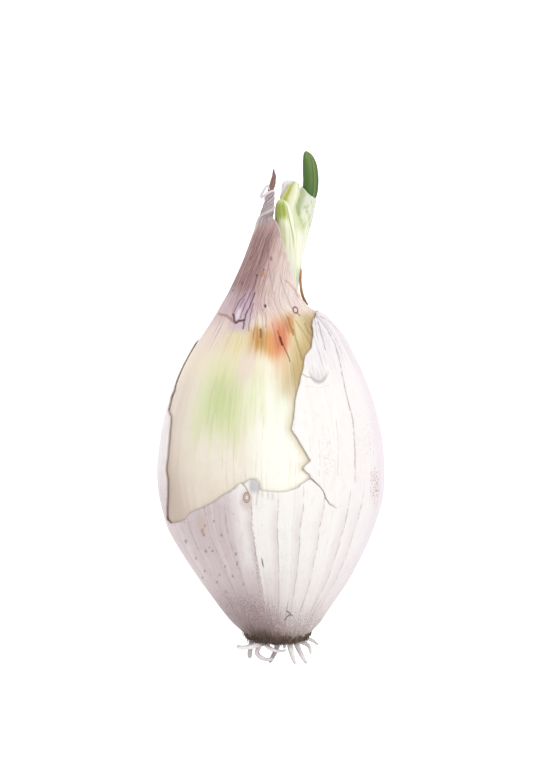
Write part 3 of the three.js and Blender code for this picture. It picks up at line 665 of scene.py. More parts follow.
# ==================================================================== leaves
def leaf_body(name, table, rows=70, sides=56, shape=None, taper=0.9, extra=None):
    """Closed lofted leaf. shape(t, f, y) -> (scale, dz) changes each ring."""
    sp = Spline(table)
    y_hi, y_lo = max(r[0] for r in table), min(r[0] for r in table)
    f = np.linspace(0, 1, rows)
    f = 1 - np.cos(f * math.pi / 2) ** taper if False else f**1.35
    ys = y_hi - f * (y_hi - y_lo)
    q = sp(ys)
    t = np.linspace(0, TAU, sides, endpoint=False)
    T, Yg = np.meshgrid(t, ys)
    cx = (q[:, 0] + q[:, 1])[:, None] / 2
    w = (q[:, 1] - q[:, 0])[:, None] / 2
    zc = q[:, 2][:, None]
    h = q[:, 3][:, None]
    F = np.repeat(f[:, None], sides, 1)
    sc, dz, dx = np.ones_like(T), np.zeros_like(T), np.zeros_like(T)
    if shape:
        sc, dz, dx = shape(T, F, Yg)
    X = cx + w * sc * np.cos(T) + dx
    Z = ZC + zc + h * sc * np.sin(T) + dz
    V = np.stack([X, Yg, Z], -1).reshape(-1, 3)
    quads = grid_faces(rows, sides, True)
    c1 = len(V)
    V = np.concatenate([V, V[:sides].mean(0)[None] + [[0, 0.02, 0]], V[-sides:].mean(0)[None] - [[0, 0.02, 0]]])
    faces = [quads, fan(np.arange(sides), c1, flip=True), fan(np.arange((rows - 1) * sides, rows * sides), c1 + 1)]
    tt = np.concatenate([T.reshape(-1), [0, 0]])
    yy = np.concatenate([Yg.reshape(-1), [ys[0], ys[-1]]])
    ff = np.concatenate([F.reshape(-1), [0, 1]])
    pc = np.stack([np.cos(tt), np.sin(tt), yy / 10], -1)
    return make_mesh(name, V, faces, {"along": ff}, {"pc": pc})


VEINS = Waves(83, 10, 34, 0.2)


def front_shape(T, F, Y):
    deg = np.degrees(T)
    hood = sstep(Y, 52.5, 57.5) * (1 - sstep(Y, 61.4, 62.4))
    sc = 1 + 0.012 * VEINS(T)
    # pale margin standing proud on the right of the hood, with a groove beside it
    sc = sc + hood * (0.16 * gauss(deg, 16, 13) - 0.13 * gauss(deg, 46, 12))
    low = 1 - sstep(Y, 50, 57)
    sc = sc - 0.05 * low * gauss(deg, 62, 16) + 0.04 * low * gauss(deg, 36, 14)
    dz = 0.22 * hood * gauss(deg, 95, 34)
    # the hood's base: a shallow step where the green cap ends
    sc = sc + 0.03 * sstep(Y, 57.2, 57.9) * gauss(deg, 105, 50)
    return sc, dz, np.zeros_like(T)


def middle_shape(T, F, Y):
    deg = np.degrees(T)
    sc = 1 + 0.012 * VEINS(T + 1)
    dz = 0.5 * np.sin(T) * 0 + 0.35 * sstep(Y, 56, 64) * gauss(deg, 80, 35)
    # folded keel towards the right, rolled left edge
    dz = dz - 0.3 * sstep(Y, 58, 63) * gauss(deg, 140, 22) * (1 - sstep(Y, 66.5, 67.9))
    dz = dz + 0.25 * gauss(deg, 60, 16) * sstep(Y, 54, 60) * (1 - sstep(Y, 66.5, 67.9))
    return sc, dz, np.zeros_like(T)


def green_shape(T, F, Y):
    deg = np.degrees(T)
    tip = 1 - sstep(Y, 75.5, 77.2)
    sc = 1 + 0.010 * VEINS(T + 2)
    # a keel runs down the right third; the face beyond it turns away
    dz = tip * (0.34 * gauss(deg, 58, 9) - 0.26 * gauss(deg, 36, 10) + 0.12 * gauss(deg, 100, 30))
    dx = tip * 0.0 * T
    return sc, dz, dx


def sheath_body():
    """The right sheath: a curved hollow leaf base, open at its top round the green leaf."""
    sp = Spline(SHEATH)
    lip = Spline([(-40, 66.5), (20, 66.4), (45, 62.6), (75, 63.0), (95, 63.9), (120, 64.9), (150, 66.3), (180, 66.9),
                  (215, 66.2), (260, 64.6), (300, 63.2), (340, 62.4), (380, 66.4)])
    rows, sides = 80, 96
    t = np.linspace(0, TAU, sides, endpoint=False)
    # the lip's height by angle, matched at 0 and 360 degrees
    deg = np.degrees(t)
    top = np.interp(deg, [0, 12, 30, 50, 70, 90, 110, 130, 150, 180, 215, 260, 300, 340, 360],
                    [62.1, 62.2, 62.7, 63.3, 63.8, 64.6, 65.5, 66.0, 66.4, 66.6, 66.0, 64.8, 63.6, 62.6, 62.1])
    f = np.linspace(0, 1, rows) ** 1.2
    Yg = top[None, :] - f[:, None] * (top[None, :] - 31.9)
    q = sp(Yg.reshape(-1))
    q = q.reshape(rows, sides, 4)
    T = np.repeat(t[None, :], rows, 0)
    cx, w = (q[..., 0] + q[..., 1]) / 2, (q[..., 1] - q[..., 0]) / 2
    sc = 1 + 0.012 * VEINS(T + 3) + 0.03 * np.exp(-((top[None, :] - Yg) / 0.5) ** 2)
    X = cx + w * sc * np.cos(T)
    Z = ZC + q[..., 2] + q[..., 3] * sc * np.sin(T)
    outer = np.stack([X, Yg, Z], -1)
    # inside of the mouth, down to where the leaf fills it
    rin = 22
    wall = 0.28
    Yi = top[None, :] - np.linspace(0, 1, rin)[:, None] * 5.5
    qi = sp(Yi.reshape(-1)).reshape(rin, sides, 4)
    Ti = np.repeat(t[None, :], rin, 0)
    cxi, wi = (qi[..., 0] + qi[..., 1]) / 2, (qi[..., 1] - qi[..., 0]) / 2
    Xi = cxi + (wi - wall) * np.cos(Ti)
    Zi = ZC + qi[..., 2] + (qi[..., 3] - wall) * np.sin(Ti)
    inner = np.stack([Xi, Yi, Zi], -1)
    V = np.concatenate([outer.reshape(-1, 3), inner.reshape(-1, 3)])
    n0 = rows * sides
    faces = [grid_faces(rows, sides, True), grid_faces(rin, sides, True, start=n0, flip=True)]
    r0 = np.arange(sides)
    r1 = (r0 + 1) % sides
    faces.append(np.stack([r0, n0 + r0, n0 + r1, r1], -1))
    ctop = len(V)
    V = np.concatenate([V, V[n0 + (rin - 1) * sides:].mean(0)[None], V[(rows - 1) * sides:n0].mean(0)[None]])
    faces.append(fan(n0 + (rin - 1) * sides + r0, ctop, flip=True))
    faces.append(fan((rows - 1) * sides + r0, ctop + 1))
    tt = np.concatenate([T.reshape(-1), Ti.reshape(-1), [0, 0]])
    yy = np.concatenate([Yg.reshape(-1), Yi.reshape(-1), [60, 32]])
    lipd = np.concatenate([(top[None, :] - Yg).reshape(-1), (top[None, :] - Yi).reshape(-1), [6, 30]])
    side = np.concatenate([np.zeros(n0), np.ones(rin * sides), [1, 0]])
    pc = np.stack([np.cos(tt), np.sin(tt), yy / 10], -1)
    return make_mesh("sheath_leaf", V, faces, {"lip": lipd, "side": side}, {"pc": pc})


# ================================================================ tubes, roots
def tube(name, path, radius, tip=0.5, shadow_grey=0.0, rows=46, sides=26, seed=0, blunt=0.45, squash=1.0, start_grow=1.05):
    r = np.random.default_rng(seed)
    P = np.array(path, float)
    d = np.concatenate([[0], np.cumsum(np.linalg.norm(np.diff(P, axis=0), axis=1))])
    sp = Spline([(d[i], *P[i]) for i in range(len(P))])
    L = d[-1]
    f = np.linspace(0, 1, rows)
    f = np.sin(f * math.pi / 2) ** 0.9
    c = sp(f * L)
    c[:, 2] += ZC
    tan = np.gradient(c, axis=0)
    tan /= np.linalg.norm(tan, axis=1)[:, None]
    up = np.array([0.0, 0.0, 1.0])
    e1 = np.cross(tan, up)
    e1 /= np.linalg.norm(e1, axis=1)[:, None] + 1e-9
    e2 = np.cross(e1, tan)
    rad = radius * (start_grow - (start_grow - 1) * sstep(f, 0, 0.25)) * (1 - (1 - tip) * f**1.3)
    cap = np.clip((1 - f) * L / (radius * blunt * 2.2), 0, 1)
    rad = rad * np.sqrt(1 - (1 - cap) ** 2 + 1e-4)
    t = np.linspace(0, TAU, sides, endpoint=False)
    wob = Waves(seed + 5, 2, 5, 0.6)
    T, F = np.meshgrid(t, f)
    bump = 1 + 0.05 * wob(T + 3 * F) + 0.025 * np.sin(F * L * 3.1 + seed) + 0.02 * np.sin(F * L * 7.3 + 2 * seed + T)
    rr = rad[:, None] * bump
    V = c[:, None, :] + e1[:, None, :] * (rr * np.cos(T))[..., None] + e2[:, None, :] * (rr * squash * np.sin(T))[..., None]
    V = V.reshape(-1, 3)
    n = len(V)
    V = np.concatenate([V, c[:1], c[-1:]])
    faces = [grid_faces(rows, sides, True, flip=True), fan(np.arange(sides), n), fan(np.arange((rows - 1) * sides, rows * sides), n + 1, flip=True)]
    ff = np.concatenate([F.reshape(-1), [0, 1]])
    tt = np.concatenate([T.reshape(-1), [0, 0]])
    pc = np.stack([np.cos(tt), np.sin(tt), ff * L / 10], -1)
    return make_mesh(name, V, faces, {"along": ff, "shadow_grey": np.full(len(V), shadow_grey)}, {"pc": pc})


def build_plate():
    """Basal plate: a low rough disc that the roots come out of."""
    R0, rows, sides = 8.1, 30, 120
    f = np.linspace(0, 1, rows)
    t = np.linspace(0, TAU, sides, endpoint=False)
    T, F = np.meshgrid(t, f)
    # side first, then the underside to the centre
    rad = np.where(F < 0.25, R0 * (0.94 + 0.06 * np.sin(F / 0.25 * math.pi)), R0 * (1 - sstep(F, 0.25, 1.0) * 0.985))
    dep = np.where(F < 0.25, -68.25 - F / 0.25 * 1.2, -69.45 - 0.95 * np.sin(np.clip((F - 0.25) / 0.75, 0, 1) * math.pi / 2))
    w1, w2 = Waves(91, 6, 30, 0.3), Waves(97, 20, 60, 0.2)
    rough = 0.22 * w1(T + F * 4) + 0.16 * w2(T - F * 6) + 0.12 * np.sin(F * 60 + 4 * w1(T))
    rad = rad + rough * (F < 0.6)
    dep = dep - 0.25 * np.abs(rough)
    X = 1.9 + rad * np.cos(T)
    Z = ZC + rad * FLAT * np.sin(T)
    V = np.stack([X, dep, Z], -1).reshape(-1, 3)
    n = len(V)
    V = np.concatenate([V, [[1.9, -68.2, ZC]], [[1.9, -70.45, ZC]]])
    faces = [grid_faces(rows, sides, True), fan(np.arange(sides), n, flip=True), fan(np.arange((rows - 1) * sides, rows * sides), n + 1)]
    tt = np.concatenate([T.reshape(-1), [0, 0]])
    pc = np.stack([np.cos(tt), np.sin(tt), np.concatenate([dep.reshape(-1), [-68.2, -70.7]]) / 10], -1)
    return make_mesh("root_plate", V, faces, None, {"pc": pc})


def build_fringe():
    """Short dry fibres standing out of the skin's lower rim, as one mesh of thin closed cones."""
    r = np.random.default_rng(311)
    V, Fq, Ft = [], [], []
    seg, sides = 5, 4
    count = 1100
    shade = []
    for k in range(count):
        th = r.uniform(0, TAU)
        y0 = -69.2 + r.uniform(-0.5, 1.6)
        off = 0.7 - float(inset_at(y0)) + r.uniform(-0.3, 0.14)
        p = shell_point(th, y0, off, 0.0).reshape(3)
        ln = r.uniform(0.4, 1.5) * (1.5 if r.random() < 0.12 else 1)
        inward = r.uniform(0.0, 0.75)
        side_ = r.normal(0, 0.28)
        d = np.array([-math.cos(th) * inward - math.sin(th) * side_, -1.0, -math.sin(th) * inward + math.cos(th) * side_])
        d /= np.linalg.norm(d)
        bend = np.array([r.normal(0, 0.3), 0.0, r.normal(0, 0.3)])
        wid = r.uniform(0.05, 0.12)
        e1 = np.cross(d, [0.3, 0.1, 1.0])
        e1 /= np.linalg.norm(e1)
        e2 = np.cross(d, e1)
        base = len(V)
        for s in range(seg + 1):
            f = s / seg
            c = p + d * ln * f + bend * f * f * 0.8
            rad = wid * (1 - f) ** 0.7 + 0.008
            for i in range(sides):
                t = TAU * i / sides
                V.append(c + e1 * rad * math.cos(t) + e2 * rad * math.sin(t))
                shade.append(0.5 + 0.5 * math.sin(k * 12.9898))
        for s in range(seg):
            for i in range(sides):
                j = (i + 1) % sides
                a = base + s * sides
                Fq.append((a + i, a + j, a + sides + j, a + sides + i))
        Fq.append(tuple(base + i for i in range(sides))[::-1])
        Fq.append(tuple(base + seg * sides + i for i in range(sides)))
    V = np.array(V)
    y = V[:, 1]
    pc = np.stack([np.zeros(len(V)), np.zeros(len(V)), y / 10], -1)
    return make_mesh("base_fibres", V, [np.array(Fq)], {"shade": np.array(shade)}, {"pc": pc})


def ribbon_strip(name, path, width, thick, normal_hint, seed=1, rows=60):
    P = np.array(path, float)
    d = np.concatenate([[0], np.cumsum(np.linalg.norm(np.diff(P, axis=0), axis=1))])
    # Catmull-Rom through the points
    tt = np.linspace(0, len(P) - 1, rows)
    out = []
    for t in tt:
        i = min(int(t), len(P) - 2)
        f = t - i
        p0, p1, p2, p3 = P[max(i - 1, 0)], P[i], P[i + 1], P[min(i + 2, len(P) - 1)]
        out.append(0.5 * ((2 * p1) + (-p0 + p2) * f + (2 * p0 - 5 * p1 + 4 * p2 - p3) * f * f + (-p0 + 3 * p1 - 3 * p2 + p3) * f**3))
    c = np.array(out)
    c[:, 2] += ZC
    tan = np.gradient(c, axis=0)
    tan /= np.linalg.norm(tan, axis=1)[:, None]
    hint = np.array(normal_hint, float)
    nrm = hint - (tan @ hint)[:, None] * tan
    nrm /= np.linalg.norm(nrm, axis=1)[:, None]
    side = np.cross(tan, nrm)
    f = np.linspace(0, 1, rows)
    w = width / 2 * (0.75 + 0.25 * np.sin(f * math.pi)) * (1 - 0.55 * sstep(f, 0.86, 1.0)) * (0.55 + 0.45 * sstep(f, 0, 0.1))
    cols = 9
    s = np.linspace(-1, 1, cols)
    cup = 0.22 * width * (1 - s**2)
    top = c[:, None, :] + side[:, None, :] * (w[:, None] * s)[..., None] + nrm[:, None, :] * (cup[None, :] + thick / 2)[..., None]
    bot = c[:, None, :] + side[:, None, :] * (w[:, None] * s)[..., None] + nrm[:, None, :] * (cup[None, :] - thick / 2)[..., None]
    ring = np.concatenate([top, bot[:, ::-1]], 1)
    n = 2 * cols
    V = ring.reshape(-1, 3)
    faces = [grid_faces(rows, n, True)]
    m = len(V)
    V = np.concatenate([V, c[:1], c[-1:]])
    faces += [fan(np.arange(n), m, flip=True), fan(np.arange((rows - 1) * n, rows * n), m + 1)]
    ff = np.concatenate([np.repeat(f, n), [0, 1]])
    ss = np.concatenate([np.tile(np.concatenate([s, s[::-1]]), rows), [0, 0]])
    pc = np.stack([ss, ff, ff * d[-1] / 10], -1)
    return make_mesh(name, V, faces, {"along": ff}, {"pc": pc})


# ================================================================= materials
class G:
    """A small builder for node materials."""

    def __init__(self, name):
        self.mat = bpy.data.materials.new(name)
        self.mat.use_nodes = True
        self.nt = self.mat.node_tree
        self.nt.nodes.clear()
        self.out = self.nt.nodes.new("ShaderNodeOutputMaterial")

    def put(self, sock, val):
        if isinstance(val, bpy.types.NodeSocket):
            self.nt.links.new(val, sock)
        elif val is not None:
            if sock.type == "RGBA" and not hasattr(val, "__len__"):
                val = (val, val, val, 1.0)
            if sock.type == "VECTOR" and hasattr(val, "__len__") and len(val) == 4:
                val = val[:3]
            sock.default_value = val

    def attr(self, name, vec=False):
        n = self.nt.nodes.new("ShaderNodeAttribute")
        n.attribute_name = name
        return n.outputs["Vector"] if vec else n.outputs["Fac"]

    def obj(self):
        return self.nt.nodes.new("ShaderNodeTexCoord").outputs["Object"]

    def sep(self, v):
        n = self.nt.nodes.new("ShaderNodeSeparateXYZ")
        self.put(n.inputs[0], v)
        return n.outputs[0], n.outputs[1], n.outputs[2]

    def vec(self, x, y, z):
        n = self.nt.nodes.new("ShaderNodeCombineXYZ")
        for s, v in zip(n.inputs, (x, y, z)):
            self.put(s, v)
        return n.outputs[0]

    def m(self, op, a, b=None, c=None, clamp=False):
        n = self.nt.nodes.new("ShaderNodeMath")
        n.operation = op
        self.put(n.inputs[0], a)
        if b is not None:
            self.put(n.inputs[1], b)
        if c is not None:
            self.put(n.inputs[2], c)
        if clamp:
            return self.m("MAXIMUM", self.m("MINIMUM", n.outputs[0], 1.0), 0.0)
        return n.outputs[0]

    def add(self, a, b):
        return self.m("ADD", a, b)

    def sub(self, a, b):
        return self.m("SUBTRACT", a, b)

    def mul(self, a, *bs):
        for b in bs:
            a = self.m("MULTIPLY", a, b)
        return a

    def ss(self, x, lo, hi, a=0.0, b=1.0):
        n = self.nt.nodes.new("ShaderNodeMapRange")
        n.interpolation_type = "SMOOTHSTEP"
        self.put(n.inputs["Value"], x)
        n.inputs["From Min"].default_value = lo
        n.inputs["From Max"].default_value = hi
        n.inputs["To Min"].default_value = a
        n.inputs["To Max"].default_value = b
        return n.outputs[0]

    def band(self, x, lo, lo1, hi1, hi):
        return self.mul(self.ss(x, lo, lo1), self.ss(x, hi1, hi, 1.0, 0.0))

    def line(self, x, c, w):
        """1 at x = c, falling to 0 at distance w."""
        return self.ss(self.m("ABSOLUTE", self.sub(x, c)), 0.0, w, 1.0, 0.0)

    def scale(self, v, x, y, z):
        n = self.nt.nodes.new("ShaderNodeVectorMath")
        n.operation = "MULTIPLY"
        self.put(n.inputs[0], v)
        n.inputs[1].default_value = (x, y, z)
        return n.outputs[0]

    def shift(self, v, x, y, z):
        n = self.nt.nodes.new("ShaderNodeVectorMath")
        n.operation = "ADD"
        self.put(n.inputs[0], v)
        n.inputs[1].default_value = (x, y, z)
        return n.outputs[0]

    def noise(self, v, scale=1.0, detail=3.0, rough=0.55, dist=0.0):
        n = self.nt.nodes.new("ShaderNodeTexNoise")
        self.put(n.inputs["Vector"], v)
        n.inputs["Scale"].default_value = scale
        n.inputs["Detail"].default_value = detail
        n.inputs["Roughness"].default_value = rough
        n.inputs["Distortion"].default_value = dist
        return n.outputs["Fac"]

    def vor(self, v, scale=1.0, feature="F1", rand=1.0):
        n = self.nt.nodes.new("ShaderNodeTexVoronoi")
        n.feature = feature
        self.put(n.inputs["Vector"], v)
        n.inputs["Scale"].default_value = scale
        n.inputs["Randomness"].default_value = rand
        return n.outputs["Distance"]

    def mix(self, f, a, b, mode="MIX"):
        n = self.nt.nodes.new("ShaderNodeMix")
        n.data_type = "RGBA"
        n.blend_type = mode
        n.clamp_factor = True
        self.put(n.inputs[0], f)
        self.put(n.inputs[6], a)
        self.put(n.inputs[7], b)
        return n.outputs[2]

    def ramp(self, f, stops, interp="EASE"):
        n = self.nt.nodes.new("ShaderNodeValToRGB")
        n.color_ramp.interpolation = interp
        el = n.color_ramp.elements
        while len(el) < len(stops):
            el.new(0.5)
        for e, (p, c) in zip(el, stops):
            e.position = p
            e.color = c
        self.put(n.inputs[0], f)
        return n.outputs[0]

    def bump(self, height, dist=0.0002, strength=1.0, normal=None):
        n = self.nt.nodes.new("ShaderNodeBump")
        n.inputs["Strength"].default_value = strength
        n.inputs["Distance"].default_value = dist
        self.put(n.inputs["Height"], height)
        if normal is not None:
            self.put(n.inputs["Normal"], normal)
        return n.outputs[0]

    def finish(self, color, rough, normal=None, **const):
        b = self.nt.nodes.new("ShaderNodeBsdfPrincipled")
        self.put(b.inputs["Base Color"], color)
        self.put(b.inputs["Roughness"], rough)
        if normal is not None:
            self.put(b.inputs["Normal"], normal)
        for k, v in const.items():
            b.inputs[k.replace("_", " ")].default_value = v
        self.nt.links.new(b.outputs[0], self.out.inputs[0])
        return self.mat


def mm_coords(g):
    """Object coordinates in millimetres, and a mask of the side that faces up."""
    v = g.scale(g.obj(), 1000, 1000, 1000)
    x, y, z = g.sep(v)
    front = g.ss(z, ZC - 0.5, ZC + 1.5)
    return v, x, y, z, front


def spot(g, x, y, cx, cy, rx, ry=None, soft=0.5, ang=0.0):
    """Soft elliptical spot: 1 inside, 0 outside."""
    ry = ry or rx
    c, s = math.cos(ang), math.sin(ang)
    dx, dy = g.sub(x, cx), g.sub(y, cy)
    u = g.mul(g.add(g.mul(dx, c), g.mul(dy, s)), 1 / rx)
    w = g.mul(g.sub(g.mul(dy, c), g.mul(dx, s)), 1 / ry)
    r = g.m("SQRT", g.add(g.mul(u, u), g.mul(w, w)))
    return g.ss(r, 1 - soft, 1 + soft, 1.0, 0.0), r


def stroke(g, p, pts, w, soft=0.7):
    """Soft line through pts (mm) on the front: 1 on it, 0 beyond w."""
    px, py = p
    best = None
    for (x0, y0), (x1, y1) in zip(pts, pts[1:]):
        dx, dy = x1 - x0, y1 - y0
        l2 = dx * dx + dy * dy
        t = g.m("MULTIPLY_ADD", py, dy / l2, -(x0 * dx + y0 * dy) / l2)
        t = g.m("MULTIPLY_ADD", px, dx / l2, t, clamp=True)
        ex = g.m("MULTIPLY_ADD", t, -dx, g.sub(px, x0))
        ey = g.m("MULTIPLY_ADD", t, -dy, g.sub(py, y0))
        d2 = g.m("MULTIPLY_ADD", ex, ex, g.mul(ey, ey))
        best = d2 if best is None else g.m("MINIMUM", best, d2)
    return g.ss(g.m("SQRT", best), w * (1 - soft), w * (1 + soft * 0.5), 1.0, 0.0)


def flat_point(g, x, y, v, wob=0.35, scale=0.55):
    """Front point with a slight natural waver, so that drawn lines aren't straight."""
    nx = g.mul(g.sub(g.noise(g.scale(v, scale, scale, scale), 1.0, 2, 0.5), 0.5), wob * 2)
    ny = g.mul(g.sub(g.noise(g.shift(g.scale(v, scale, scale, scale), 7.0, 3.0, 1.0), 1.0, 2, 0.5), 0.5), wob * 2)
    return g.add(x, nx), g.add(y, ny)


def skin_material():
    g = G("dry_skin_paper")
    pc = g.attr("pc", vec=True)
    co, si, yt = g.sep(pc)
    v, x, y, z, front = mm_coords(g)
    p = flat_point(g, x, y, v, 0.25, 0.5)
    edge = g.attr("edge")
    side = g.attr("side")
    curl = g.attr("curl")
    # streaks that follow the meridians
    s_fine = g.noise(g.scale(pc, 46, 46, 0.9), 1.0, 4, 0.6)
    s_mid = g.noise(g.scale(pc, 15, 15, 0.4), 1.0, 3, 0.55)
    s_wide = g.noise(g.scale(pc, 5.0, 5.0, 0.22), 1.0, 2, 0.5)
    fibre = g.noise(g.scale(pc, 120, 120, 3.0), 1.0, 3, 0.6)
    mott = g.noise(g.scale(v, 0.5, 0.28, 0.5), 1.0, 4, 0.6)
    grain = g.noise(g.scale(v, 1.6, 1.1, 1.6), 1.0, 5, 0.65)
    stip = g.noise(g.scale(v, 2.9, 2.2, 2.9), 1.0, 2, 0.5)
    cw = g.add(co, g.mul(g.sub(g.noise(g.scale(v, 0.16, 0.16, 0.16), 1.0, 3, 0.5), 0.5), 0.035))
    yl = g.add(y, g.mul(g.sub(s_mid, 0.5), 10.0))
    # lilac: partly the skin's own tint, partly painted shade on the left, and on the lower left up to a sharp fold
    lz = g.mul(g.ss(cw, -0.2, -0.45), g.add(g.mul(g.ss(y, -14.0, -32.0), 0.72), 0.28))
    lz2 = g.mul(g.ss(cw, -0.15, -0.2), g.ss(yl, -39.0, -52.0), 0.85)
    lilac_and_painted_shade = g.mul(g.m("MAXIMUM", lz, lz2), g.ss(s_mid, 0.25, 0.7, 0.72, 1.12))
    white = g.mix(g.ss(s_wide, 0.35, 0.7), hexlin("fdf9f5"), hexlin("faf4f2"))
    # painted shade along the right outline, where the skin turns away
    white = g.mix(g.mul(g.ss(co, 0.5, 0.92), 0.75), white, hexlin("eee7e9"))
    white = g.mix(g.mul(g.ss(co, 0.86, 1.0), 0.7), white, hexlin("dccfd9"))
    col = g.mix(g.m("MINIMUM", lilac_and_painted_shade, 1.0), white, hexlin("d5c4c6"))
    col = g.mix(g.mul(g.ss(yl, -40.0, -64.0), g.ss(co, -0.2, -0.12), g.ss(co, -0.1, 0.3, 0.7, 0.3)), col, hexlin("c9b4b5"))
    # painted shade on the lower left
    col = g.mix(g.mul(g.ss(yl, -46.0, -62.0), g.ss(co, 0.0, -0.4), 0.6), col, hexlin("b8a1a6"))
    col = g.mix(g.mul(g.ss(s_mid, 0.52, 0.75), 0.22), col, hexlin("eadcd8"))
    col = g.mix(g.mul(g.ss(mott, 0.5, 0.72), g.add(g.mul(lilac_and_painted_shade, 0.4), 0.1)), col, hexlin("c9b3ad"))
    # cool shade on the upper right shoulder
    ur = g.mul(g.ss(y, 4.0, 24.0), g.ss(co, 0.2, 0.6))
    col = g.mix(g.mul(ur, g.ss(s_mid, 0.35, 0.62, 0.35, 1.0), 0.7), col, hexlin("e4dde3"))
    col = g.mix(g.mul(ur, g.ss(s_fine, 0.53, 0.64), 0.55), col, hexlin("b7adb4"))
    # panels between the main veins: a little darker towards each vein's left
    for k, (c, st) in enumerate(((-0.178, 0.75), (0.06, 0.5), (0.285, 0.42), (0.47, 0.3), (0.695, 0.3), (0.81, 0.28), (-0.42, 0.35), (-0.6, 0.3), (-0.78, 0.3))):
        saw = g.mul(g.ss(cw, c - 0.1, c - 0.004), g.ss(cw, c - 0.003, c + 0.005, 1.0, 0.0))
        lo_ = g.ss(y, -24.0, -36.0)
        col = g.mix(g.mul(saw, lo_, st * 0.75), col, hexlin("cfbdc0"))
        ln = g.mul(g.line(cw, c, 0.009), g.ss(g.noise(g.shift(g.scale(v, 0.35, 0.35, 0.35), k * 3.7, 0, 0), 1.0, 3, 0.6), 0.36, 0.6))
        col = g.mix(g.mul(ln, g.ss(y, -20.0, -28.0), 0.55), col, hexlin("9d898b"))
    # fine fibres
    col = g.mix(g.mul(g.ss(s_fine, 0.56, 0.72), g.add(g.mul(lilac_and_painted_shade, 0.32), 0.10)), col, hexlin("b5a3a8"))
    col = g.mix(g.mul(g.ss(fibre, 0.58, 0.72), g.add(g.mul(g.ss(y, -18.0, -52.0), 0.2), 0.05)), col, hexlin("a8949a"))
    # other veins, all the way round
    ang = g.m("ARCTAN2", si, co)
    wob = g.mul(g.sub(g.noise(g.vec(0.0, 0.0, g.mul(yt, 1.1)), 1.0, 3, 0.5), 0.5), 0.02)
    a2 = g.add(ang, wob)
    rnd = random.Random(5)
    vein_list = [(29.0, 0.4), (18.0, 0.35), (8.0, 0.35), (121.5, 0.3), (139.0, 0.3), (160.0, 0.3), (78.0, 0.3), (56.0, 0.3)]
    vein_list += [(-8 - 19 * k + rnd.uniform(-5, 5), rnd.uniform(0.35, 0.9)) for k in range(9)]
    vein = None
    for deg, st in vein_list:
        d = math.radians(((deg + 180) % 360) - 180)
        ln = g.mul(g.line(a2, d, 0.0085 + 0.004 * st), st)
        vein = ln if vein is None else g.m("MAXIMUM", vein, ln)
    vmask = g.mul(vein, g.ss(g.noise(g.scale(pc, 3, 3, 1.6), 1.0, 3, 0.6), 0.3, 0.62, 0.25, 1.0))
    col = g.mix(g.mul(vmask, 0.45), col, hexlin("a9989d"))
    brk = g.ss(g.noise(g.scale(v, 0.5, 0.5, 0.5), 1.0, 3, 0.6), 0.34, 0.56, 0.25, 1.0)
    face = g.mul(front, g.ss(co, 0.975, 0.92))
    for pts, w, st, c in (
        (((12.8, 29.1), (16.95, 23.4), (19.2, 18.9), (20.7, 12.9), (22.5, 3.9), (24.45, -3.6), (25.05, -12.6), (25.0, -22.0)), 0.2, 0.62, "8f868b"),
        (((13.35, 28.3), (14.55, 24.15), (15.45, 20.4), (16.2, 17.4)), 0.2, 0.7, "8a8187"),
        (((14.55, 27.75), (17.7, 25.65), (20.7, 22.65), (23.7, 18.9), (25.8, 14.6), (27.6, 9.0)), 0.2, 0.55, "968c93"),
        (((13.7, 28.6), (16.0, 25.7), (18.0, 22.9), (19.9, 19.5), (21.2, 16.4)), 0.14, 0.5, "968c93"),
        (((12.9, 27.6), (13.3, 24.6), (13.9, 20.9)), 0.14, 0.5, "968c93"),
        (((19.5, -3.6), (20.0, -12.0), (19.95, -20.1)), 0.16, 0.35, "a2989c"),
        (((14.3, -9.6), (14.5, -16.0), (14.4, -20.1)), 0.14, 0.3, "a2989c"),
        (((11.6, -8.4), (11.9, -16.2)), 0.14, 0.25, "a2989c"),
        (((10.3, 6.6), (14.0, 6.0), (17.4, 6.9)), 0.14, 0.25, "a79fa2"),
        (((9.3, 10.2), (10.7, 9.4), (12.2, 9.0)), 0.22, 0.55, "a39aa0")):
        col = g.mix(g.mul(stroke(g, p, pts, w), brk, face, st), col, hexlin(c))
    # brown specks, denser low on the left
    sp = g.vor(g.shift(g.scale(v, 0.42, 0.22, 0.42), 3.1, 0.7, 1.3), 1.0, "F1")
    sp_d = g.ss(g.noise(g.shift(g.scale(v, 0.11, 0.09, 0.11), 4.0, 2.0, 0.0), 1.0, 2, 0.5), 0.42, 0.62)
    low = g.ss(y, -18.0, -52.0)
    speck = g.mul(g.ss(sp, 0.05, 0.14, 1.0, 0.0), sp_d, g.ss(low, 0.02, 0.35), g.ss(co, 0.1, -0.4, 0.12, 1.0))
    col = g.mix(g.mul(speck, 0.6), col, hexlin("8d6353"))
    sp2 = g.vor(g.shift(g.scale(v, 0.9, 0.5, 0.9), 1.1, 5.0, 2.0), 1.0, "F1")
    speck2 = g.mul(g.ss(sp2, 0.05, 0.15, 1.0, 0.0), g.ss(low, 0.35, 0.9), g.ss(co, 0.2, -0.2, 0.3, 1.0))
    col = g.mix(g.mul(speck2, 0.42), col, hexlin("8c7577"))
    for px, py, rx, ry in ((-20.4, -36.4, 0.42, 0.75), (-19.95, -37.6, 0.38, 0.5), (-19.6, -34.9, 0.3, 0.5), (-16.95, -33.5, 0.26, 0.45),
                           (-14.7, -37.7, 0.34, 0.42), (-25.4, -39.7, 0.42, 0.6), (-19.4, -42.6, 0.4, 0.48), (-17.4, -42.5, 0.36, 0.36),
                           (-18.3, -41.4, 0.22, 0.3), (-22.4, -44.8, 0.32, 0.5), (-10.4, -43.3, 0.32, 0.55), (-10.05, -46.3, 0.3, 0.55),
                           (-13.65, -47.1, 0.26, 0.45), (-19.8, -48.6, 0.3, 0.45), (-20.5, -50.7, 0.3, 0.42), (-16.05, -51.9, 0.3, 0.42),
                           (-13.5, -54.9, 0.28, 0.45), (-11.4, -50.0, 0.28, 0.4), (-15.3, -49.7, 0.24, 0.4), (-8.2, -52.4, 0.24, 0.4)):
        s_, _ = spot(g, x, y, px, py, rx, ry, 0.55)
